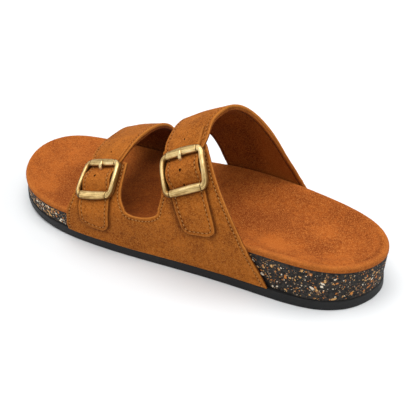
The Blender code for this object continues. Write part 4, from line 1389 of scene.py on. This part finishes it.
def panelPiece(name, panel, material, lowRise, highRise, seamIn, sunk=0.0, dark=0.0, pale=0.0, under=False):
    station, turn, gap = panel["station"], panel["turn"], panel["edgeGap"]
    roll = upper["edgeRoll"]
    inside = np.clip(roll - gap, 0.0, roll)
    drop = roll - np.sqrt(roll**2 - inside**2)
    # a band along the stitch row, sunk as a groove and darkened as painted shade of that groove
    seam = bell(panel["seamGap"] - seamIn, upper["seamWidth"])
    puffHigh, puffAt, puffWide = upper["puff"]
    puff = puffHigh * bell(panel["seamGap"] - seamIn * puffAt, seamIn * puffWide)
    groove = upper["seamDepth"] * seam
    rise = highRise - drop + np.where(under, 0.0, puff - sunk - groove)
    fall = lowRise + drop * upper["underRoll"] + (groove if under else 0.0)
    panel["top"], panel["bottom"] = (upperPlace(station, turn, height) for height in (rise, fall))
    count, quads = len(station), panel["quads"]
    start, end = panel["openEdges"].T
    walls = np.stack([end, start, start + count, end + count], axis=1)
    faces = np.concatenate([quads, quads[:, ::-1] + count, walls])
    rim = bell(gap, upper["edgeWidth"])
    joint = upper["jointShade"] * rim
    (suedeSeam, liningSeam), (suedeUnder, liningOver, liningUnder) = upper["seamShade"], upper["edgeWear"]
    if under:  # the lining's worked face is its lower one, and the joint between the layers is darker
        masks = {"edge": np.r_[rim * liningOver, rim * liningUnder], "seam": np.r_[joint, seam * liningSeam]}
        # painted light low on the rear strap's lining and its edges, painted shadow under the front strap
        lit = liningPatch("liningPale", station, turn)
        masks["stain"], masks["cloud"] = liningPatch("liningDark", station, turn), -lit
        masks["edge"] += upper["liningPaleEdge"] * lit
    else:
        # painted shade in the seam's groove, in slits, beside the tongues and along the buckle bars
        sewn = np.maximum(seam * suedeSeam, dark)
        masks = {"edge": np.r_[np.maximum(rim, pale), rim * suedeUnder], "seam": np.r_[sewn, joint]}
    places = np.concatenate([panel["top"], panel["bottom"]])
    return makePiece(name, places, faces, [material], masks, sharp=60.0)


def punchHoles(piece):  # blind holes with dark walls
    sides = upper["holeSides"]
    cosine, sine = circle(sides)
    places, faces = [], []
    for station, turn, radius in upper["holes"]:
        middle, out = lastPlace(station, turn), lastNormal(np.array(station), np.array(turn))
        across = unit(np.cross(out, (0.0, 0.0, 1.0)))
        ring = cosine[:, None] * across + sine[:, None] * np.cross(across, out)
        start = sum(map(len, places))
        places += [middle + out * rise + ring * radius for rise in upper["holeRises"]]
        faces += [[start + number for number in face] for face in tubeFaces(2, sides)]
    cutter = makePiece("holeCutter", np.concatenate(places), faces, [holeShade])
    cut = piece.modifiers.new("holes", "BOOLEAN")
    cut.operation, cut.solver, cut.object, cut.material_mode = "DIFFERENCE", "EXACT", cutter, "TRANSFER"
    graph = bpy.context.evaluated_depsgraph_get()
    data = bpy.data.meshes.new_from_object(piece.evaluated_get(graph), depsgraph=graph)
    piece.modifiers.clear()
    piece.data = data
    bpy.data.objects.remove(cutter)


def makeUpper():
    lining, inset, share = upper["liningThick"], upper["liningInset"], upper["liningPadding"]
    outside, inside, row = suedes["upperSuede"], suedes["liningSuede"], upper["liningSeam"]
    quarter = joinPatches(quarterPatches(0.0))
    sunk, dark, pale = creaseRelief(quarter)
    dark = np.maximum(dark, tongueShade(quarter))
    low, high = quarter["low"] + lining, quarter["high"] + gentleWaves(quarter["station"], quarter["turn"])
    piece = panelPiece("quarterSuede", quarter, outside, low, high, upper["quarterSeam"], sunk, dark, pale)
    settle(piece, "upper", "upper")
    back = joinPatches(quarterPatches(inset))
    piece = panelPiece("quarterLining", back, inside, back["low"], back["low"] + lining, row, under=True)
    settle(piece, "upper")
    bands = joinPatches(strapPatches(0.0))
    sunk, dark, pale = creaseRelief(bands)
    dark = np.maximum(dark, barShade(bands))
    freeFrom, freeLong = upper["waveFrom"]
    free = ease((bands["turn"] - freeFrom) / freeLong)
    low = bands["low"] + lining + share * padding(bands["turn"])
    high = bands["high"] + free * gentleWaves(bands["station"], bands["turn"])
    piece = panelPiece("strapSuede", bands, outside, low, high, upper["strapSeam"], sunk, dark, pale)
    punchHoles(piece)
    settle(piece, "upper", "upper")
    back = joinPatches(strapPatches(inset))
    high = back["low"] + lining + share * padding(back["turn"])
    piece = panelPiece("strapLining", back, inside, back["low"], high, row, under=True)
    settle(piece, "upper")
    return quarter, bands, back


quarterPanel, bandPanel, liningPanel = makeUpper()


# stitches

stitch = {
    "quarterPitch": 2.4,
    "strapPitch": 2.8,
    "liningPitch": 2.6,
    "long": 0.54,  # share of the pitch
    "halfWide": 0.26,
    "halfHigh": 0.2,
    "rings": 7,
    "sides": 8,
    "slant": 0.06,
    "taper": (3.0, 0.12),  # power, least
    "bow": (0.14, 0.30, 2.5),  # height in the middle, fall to the ends, power
    "worn": (0.8, 0.55, 0.1),  # strength, turn where it starts, its length
    "holeRadius": 0.34,
    "holeRises": (0.02, 0.1, -0.25),  # middle, rim, root
    "slitGap": 1.0,  # no stitches on a slit
}


def levelLines(panel, level, face="top"):  # lines along which the seam gap has one value
    gap, quads, top = panel["seamGap"], panel["quads"], panel[face]
    triangles = np.concatenate([quads[:, (0, 1, 2)], quads[:, (0, 2, 3)]])
    above = gap[triangles] > level
    mixed = triangles[above.any(axis=1) & ~above.all(axis=1)]
    links = {}
    for triangle in mixed:
        crossed = []
        for first, second in ((0, 1), (1, 2), (2, 0)):
            a, b = sorted((int(triangle[first]), int(triangle[second])))
            if (gap[a] > level) != (gap[b] > level):
                crossed.append((a, b))
        if len(crossed) == 2:
            links.setdefault(crossed[0], []).append(crossed[1])
            links.setdefault(crossed[1], []).append(crossed[0])
    normals, ground = (form(panel["station"], panel["turn"]) for form in (lastNormal, lastPlace))
    normals = normals if face == "top" else -normals
    turns = panel["turn"][:, None]
    lines, seen = [], set()
    for start in sorted(links, key=lambda key: (len(links[key]) != 1, key)):
        if start in seen:
            continue
        chain, here = [], start
        while here is not None:
            seen.add(here)
            chain.append(here)
            here = next((step for step in links[here] if step not in seen), None)
        a, b = np.array(chain).T
        share = ((level - gap[a]) / (gap[b] - gap[a]))[:, None]
        fields = (top, normals, ground, turns)
        lines.append([values[a] + (values[b] - values[a]) * share for values in fields])
    return lines


def makeStitches(name, lines, thread):
    pitch = stitch[name + "Pitch"]
    middles, runs, outs, worn, holes, holeOuts = [], [], [], [], [], []
    slits = [lastPlace(*polyline(points).T) for points, _, _, darkness in upper["creases"] if darkness > 0.5]
    wornBy, wornFrom, wornLong = stitch["worn"]
    for line, normals, ground, turns in lines:
        knots = runLength(line)
        count = int(knots[-1] / pitch)
        if count < 3:
            continue

        def read(values, where):
            return np.stack([np.interp(where, knots, column) for column in values.T], axis=1)

        at = (np.arange(count) + 0.5) * knots[-1] / count
        at = at[nearest(read(ground, at), np.concatenate(slits)) > stitch["slitGap"]]
        middles.append(read(line, at))
        runs.append(read(line, at + 0.5) - read(line, at - 0.5))
        outs.append(read(normals, at))
        worn.append(wornBy * ease((read(turns, at)[:, 0] - wornFrom) / wornLong))
        between = at + 0.5 * knots[-1] / count
        holes.append(read(line, between))
        holeOuts.append(read(normals, between))
    middle, run, out = (np.concatenate(parts) for parts in (middles, runs, outs))
    run = unit(run)
    side = unit(np.cross(out, run))
    out = np.cross(run, side)
    run = run + side * rng.normal(0.0, stitch["slant"], len(run))[:, None]
    t = np.linspace(-1.0, 1.0, stitch["rings"])
    power, least = stitch["taper"]
    swell = np.sqrt(np.clip(1.0 - np.abs(t) ** power, least, 1.0))[:, None]
    high, fall, power = stitch["bow"]
    lift = (high - fall * np.abs(t) ** power)[:, None]
    cosine, sine = circle(stitch["sides"])
    middle, run, side, out = (values[:, None, None, :] for values in (middle, run, side, out))
    places = (
        middle
        + run * (t * pitch * stitch["long"] / 2.0)[None, :, None, None]
        + side * (swell * (cosine * stitch["halfWide"]))[None, :, :, None]
        + out * (lift + swell * (sine * stitch["halfHigh"]))[None, :, :, None]
    )
    each = stitch["rings"] * stitch["sides"]
    pattern = tubeFaces(stitch["rings"], stitch["sides"])
    starts = range(0, len(middle) * each, each)
    faces = [[number + first for number in face] for first in starts for face in pattern]
    masks = {"worn": np.repeat(np.concatenate(worn), each)}
    settle(makePiece(name + "Thread", places.reshape(-1, 3), faces, [thread], masks), "upper")
    makeNeedleHoles(name + "NeedleHoles", np.concatenate(holes), np.concatenate(holeOuts))


def makeNeedleHoles(name, middle, out):  # small dark cups where the thread goes in
    out = unit(out)
    across = unit(np.cross(out, np.array((0.3, 0.2, 1.0))))  # any fixed line off the normals will do
    cosine, sine = (values[None, :, None] for values in circle(stitch["sides"]))
    ring = across[:, None, :] * cosine + np.cross(across, out)[:, None, :] * sine
    deep, rim, root = (middle[:, None, :] + out[:, None, :] * rise for rise in stitch["holeRises"])
    places = np.concatenate([deep, rim + ring * stitch["holeRadius"], root], axis=1).reshape(-1, 3)
    settle(makePiece(name, places, spindleFaces(len(middle), stitch["sides"]), [needleShade]), "upper")


makeStitches("quarter", levelLines(quarterPanel, upper["quarterSeam"]), waxedThread)
makeStitches("strap", levelLines(bandPanel, upper["strapSeam"]), waxedThread)
makeStitches("lining", levelLines(liningPanel, upper["liningSeam"], "bottom"), darkThread)


# buckles


def roundedBox(halfWidth, halfHeight, radius):
    points = []
    centres = ((1, 1), (-1, 1), (-1, -1), (1, -1))
    for number, (right, up) in enumerate(centres):
        middle = np.array((right * (halfWidth - radius), up * (halfHeight - radius)))
        angle = np.linspace(0.0, np.pi / 2.0, buckle["cornerSteps"] + 1) + number * np.pi / 2.0
        points += list(middle + radius * np.stack([np.cos(angle), np.sin(angle)], axis=1))
        right, up = centres[(number + 1) % 4]
        turn = (number + 1) * np.pi / 2.0
        end = np.array((right * (halfWidth - radius) + radius * np.cos(turn),
                        up * (halfHeight - radius) + radius * np.sin(turn)))
        start = points[-1]
        shares = np.linspace(0.0, 1.0, buckle["sideSteps"] + 1)[1:-1]
        points += [start + (end - start) * share for share in shares]
    return np.array(points)


def bowedBox(halfWidth, halfHeight, radius, sideBow, endBow):
    box = roundedBox(halfWidth, halfHeight, radius)
    across, along = box[:, 0] / halfWidth, box[:, 1] / halfHeight
    box[:, 0] += sideBow * across * (1.0 - along**2)
    box[:, 1] += endBow * along * (1.0 - across**2)
    return box


def frameStops(count):  # place in the loop, flatness, joint
    cornerSteps, width = buckle["cornerSteps"], buckle["jointWidth"]
    corner, step = np.divmod(np.arange(count), cornerSteps + buckle["sideSteps"])
    joints = np.where(corner % 2 == 0, step == cornerSteps, step == 0)
    flat = (corner % 2 == 0) & (step > cornerSteps)
    stops = []
    for number in range(count):
        if not joints[number]:
            stops.append((number, float(flat[number]), 0.0))
            continue
        # the end bars butt between the side bars, with a thin dark joint at each end
        after = float(corner[number] % 2 == 0)
        before = 1.0 - after
        stops += [(number - width, before, 0.0), (number - 0.5 * width, before, 0.9), (number, 0.5, 1.0),
                  (number + 0.5 * width, after, 0.9), (number + width, after, 0.0)]
    return stops


def makeFrame(name, strap):
    halfWidth, halfHeight = buckle["windowWidth"] / 2.0, buckle["windowHeight"] / 2.0
    window = bowedBox(halfWidth, halfHeight, buckle["windowCorner"], buckle["windowBow"], 0.0)
    outside = bowedBox(halfWidth + buckle["sideBar"], halfHeight + buckle["endBar"], buckle["corner"],
                       buckle["sideBow"], buckle["barBow"])
    number = np.arange(len(window))
    both = window + outside
    run = np.cumsum(np.linalg.norm(np.diff(both, axis=0, prepend=both[-1:]), axis=1)) / 2.0
    endBar, sideBar = np.array(buckle["endProfile"]), np.array(buckle["sideProfile"])
    reach, (creamEnd, creamFade) = buckle["ageReach"], buckle["creamEdge"]
    sections, age, flow = [], [], []
    for at, flat, joint in frameStops(len(window)):
        inner, outer = (np.array([np.interp(at, number, box[:, axis]) for axis in (0, 1)])
                        for box in (window, outside))
        profile = sideBar + (endBar - sideBar) * flat
        share = np.r_[profile[:, 0], buckle["backCorners"]]
        height = np.r_[frameTop - profile[:, 1] - buckle["jointDepth"] * joint, frameLow, frameLow]
        spots = inner + (outer - inner) * share[:, None]
        sections.append(strap.place(spots[:, 1], spots[:, 0], height))
        # painted shade on the side bar nearer the toe, painted highlight on the other one
        dull = buckle["frontAge"] * ease(1.0 - (halfWidth + inner[0]) / reach)
        cream = ease(1.0 - (halfWidth - inner[0]) / reach) * ease((creamEnd - share) / creamFade)
        dull = dull + buckle["rearAge"] * cream
        aged = np.r_[profile[:, 2], buckle["backAge"], buckle["backAge"]] + (1.0 - flat) * dull
        age.append(np.maximum(aged, buckle["jointAge"] * joint))
        angle = 2.0 * np.pi * np.interp(at, number, run) / run[-1]
        across = share * np.linalg.norm(outer - inner)
        ring = run[-1] / (2.0 * np.pi) * np.array((np.cos(angle), np.sin(angle)))
        flow.append(np.column_stack([np.broadcast_to(ring, (len(share), 2)), across]))
    count = len(sections[0])
    faces = loopFaces(len(sections), count).tolist()
    final = (len(sections) - 1) * count
    faces += [[final + i, final + (i + 1) % count, (i + 1) % count, i] for i in range(count)]
    masks = {"age": np.concatenate(age), "flow": np.concatenate(flow)}
    return makePiece(name, np.concatenate(sections), faces, [frameBrass], masks, sharp=50.0)


def makeCentreBar(name, strap):
    end = (buckle["windowWidth"] + buckle["sideBar"]) / 2.0
    root = frameLow + buckle["thick"] * buckle["barRoot"]
    high, low = buckle["barBend"]
    rising = [(-end, root), (-end, barAxis + high), (low - end, barAxis + low)]
    level = [(across, barAxis) for across in np.linspace(high - end, end - high, buckle["barRings"])]
    route = np.array(rising + level + [(-across, height) for across, height in rising[::-1]])
    radius = buckle["centreBar"] / 2.0
    cosine, sine = circle(buckle["barSides"])
    sections = []
    for (across, height), (runAcross, runHeight) in zip(route, unit(np.gradient(route, axis=0))):
        side = radius * sine
        sections.append(strap.place(radius * cosine, across - runHeight * side, height + runAcross * side))
    return makePiece(name, np.concatenate(sections), tubeFaces(len(sections), len(sine)), [frameBrass])


prong = {
    # hook first: mm from the centre bar, height over its axis, half width, half thickness
    "route": (
        (2.2, 0.45, 1.00, 0.40),
        (3.6, 0.40, 1.05, 0.42),
        (5.0, 0.45, 1.10, 0.46),
        (6.0, 0.95, 1.18, 0.52),
        (6.5, 2.00, 1.22, 0.55),
        (7.0, 3.10, 1.22, 0.56),
        (7.7, 3.85, 1.16, 0.55),
        (8.5, 4.20, 1.04, 0.52),
        (9.3, 4.32, 0.90, 0.48),
        (10.0, 4.28, 0.76, 0.42),
        (10.45, 4.22, 0.52, 0.32),
        (10.65, 4.18, 0.24, 0.16),
    ),
    "rings": 44,
    "sides": 16,
    "lean": (1.0, 8.2, 2.4),  # mm to the front where it goes down into the strap, where that ends, its length
    "hook": (185.0, 160.0, 135.0, 110.0, 85.0, 60.0),  # degrees round the centre bar
    "hookHalf": (0.8, 0.25),  # half width, half thickness
}


def makeProng(name, strap):
    table = np.array(prong["route"])
    fine = np.linspace(0.0, len(table) - 1.0, prong["rings"])
    along, rise, halfWide, halfThick = (fairCurve(np.arange(len(table)), column, fine) for column in table.T)
    hook = np.radians(prong["hook"])
    hookWide, hookThick = prong["hookHalf"]
    along = np.r_[hookRadius * np.cos(hook), along]
    rise = np.r_[hookRadius * np.sin(hook), rise]
    halfWide = np.r_[np.full(len(hook), hookWide), halfWide]
    halfThick = np.r_[np.full(len(hook), hookThick), halfThick]
    run = unit(np.gradient(np.stack([along, rise], axis=1), axis=0))
    cosine, sine = circle(prong["sides"])
    lean, leanEnd, leanLong = prong["lean"]
    sections = []
    for index in range(len(run)):
        across = cosine * halfWide[index] - lean * ease((leanEnd - along[index]) / leanLong)
        up = sine * halfThick[index]
        sections.append(strap.place(along[index] - run[index, 1] * up, across,
                                    barAxis + rise[index] + run[index, 0] * up))
    return makePiece(name, np.concatenate(sections), tubeFaces(len(sections), len(sine)), [prongBrass])


for place, strap in straps.items():
    settle(makeFrame(place + "BuckleFrame", strap), "buckles", "buckle_frame_" + place)
    settle(makeCentreBar(place + "CentreBar", strap), "buckles")
    settle(makeProng(place + "BuckleProng", strap), "buckles", "buckle_prong_" + place)


# floor, light and camera

studio = {
    "floorSize": 8.0,
    "floorTints": ((0.825, 0.84, 0.85, 1.0), (0.84, 0.855, 0.865, 1.0)),
    "world": 0.4,
    # name, place, aim, width, height, watts
    "lights": (
        ("topBox", (-0.1, 0.0, 1.5), (0.0, 0.0, 0.0), 1.6, 1.6, 22.5),
        ("backBox", (0.9, 0.7, 0.8), (0.0, 0.0, 0.03), 0.7, 0.7, 7.0),
        ("leftBox", (-1.0, -0.8, 0.7), (0.0, 0.0, 0.04), 1.0, 1.0, 3.5),
    ),
    "cameraAt": (0.1929, -0.2841, 0.2673),
    "cameraAim": (0.0165, -0.0008, 0.0203),
    "cameraRoll": -2.58,
    "lens": 55.06,
    "sensor": 36.0,
    "clipStart": 0.01,
}


def makeFloor():
    material, tree, shader = newMaterial("paleFloor", 0.1, Roughness=0.95)
    tint = mixColor(tree, noise(tree, objectSpace(tree), 2.0), *studio["floorTints"])
    feed(tree, shader.inputs, {"Base Color": tint})
    half = studio["floorSize"] / 2.0 / mm
    corners = [(-half, -half, 0.0), (half, -half, 0.0), (half, half, 0.0), (-half, half, 0.0)]
    floor = makePiece("studioFloor", corners, [[0, 1, 2, 3]], [material])


def aimed(place, aim, roll=0.0):
    back = (Vector(place) - Vector(aim)).normalized()
    right = Vector((0.0, 0.0, 1.0)).cross(back)
    right = right.normalized() if right.length > 1e-6 else Vector((1.0, 0.0, 0.0))
    up = back.cross(right)
    turn = math.radians(roll)
    side = right * math.cos(turn) + up * math.sin(turn)
    top = up * math.cos(turn) - right * math.sin(turn)
    return Matrix.Translation(place) @ Matrix((side, top, back)).transposed().to_4x4()


def makeStudio():
    scene = bpy.context.scene
    scene.view_settings.view_transform = "Standard"
    world = bpy.data.worlds.new("studioWorld")
    world.use_nodes = True
    sky = world.node_tree.nodes["Background"].inputs
    sky["Color"].default_value, sky["Strength"].default_value = (1.0, 1.0, 1.0, 1.0), studio["world"]
    scene.world = world
    for name, place, aim, width, height, watts in studio["lights"]:
        light = bpy.data.lights.new(name, "AREA")
        light.shape, light.size, light.size_y, light.energy = "RECTANGLE", width, height, watts
        lamp = bpy.data.objects.new(name, light)
        lamp.matrix_world = aimed(place, aim)
        scene.collection.objects.link(lamp)
    camera = bpy.data.cameras.new("photoCamera")
    camera.lens, camera.sensor_width = studio["lens"], studio["sensor"]
    camera.clip_start = studio["clipStart"]
    eye = bpy.data.objects.new("photoCamera", camera)
    eye.matrix_world = aimed(studio["cameraAt"], studio["cameraAim"], studio["cameraRoll"])
    scene.collection.objects.link(eye)
    scene.camera = eye


makeFloor()
makeStudio()
print("studio ready")
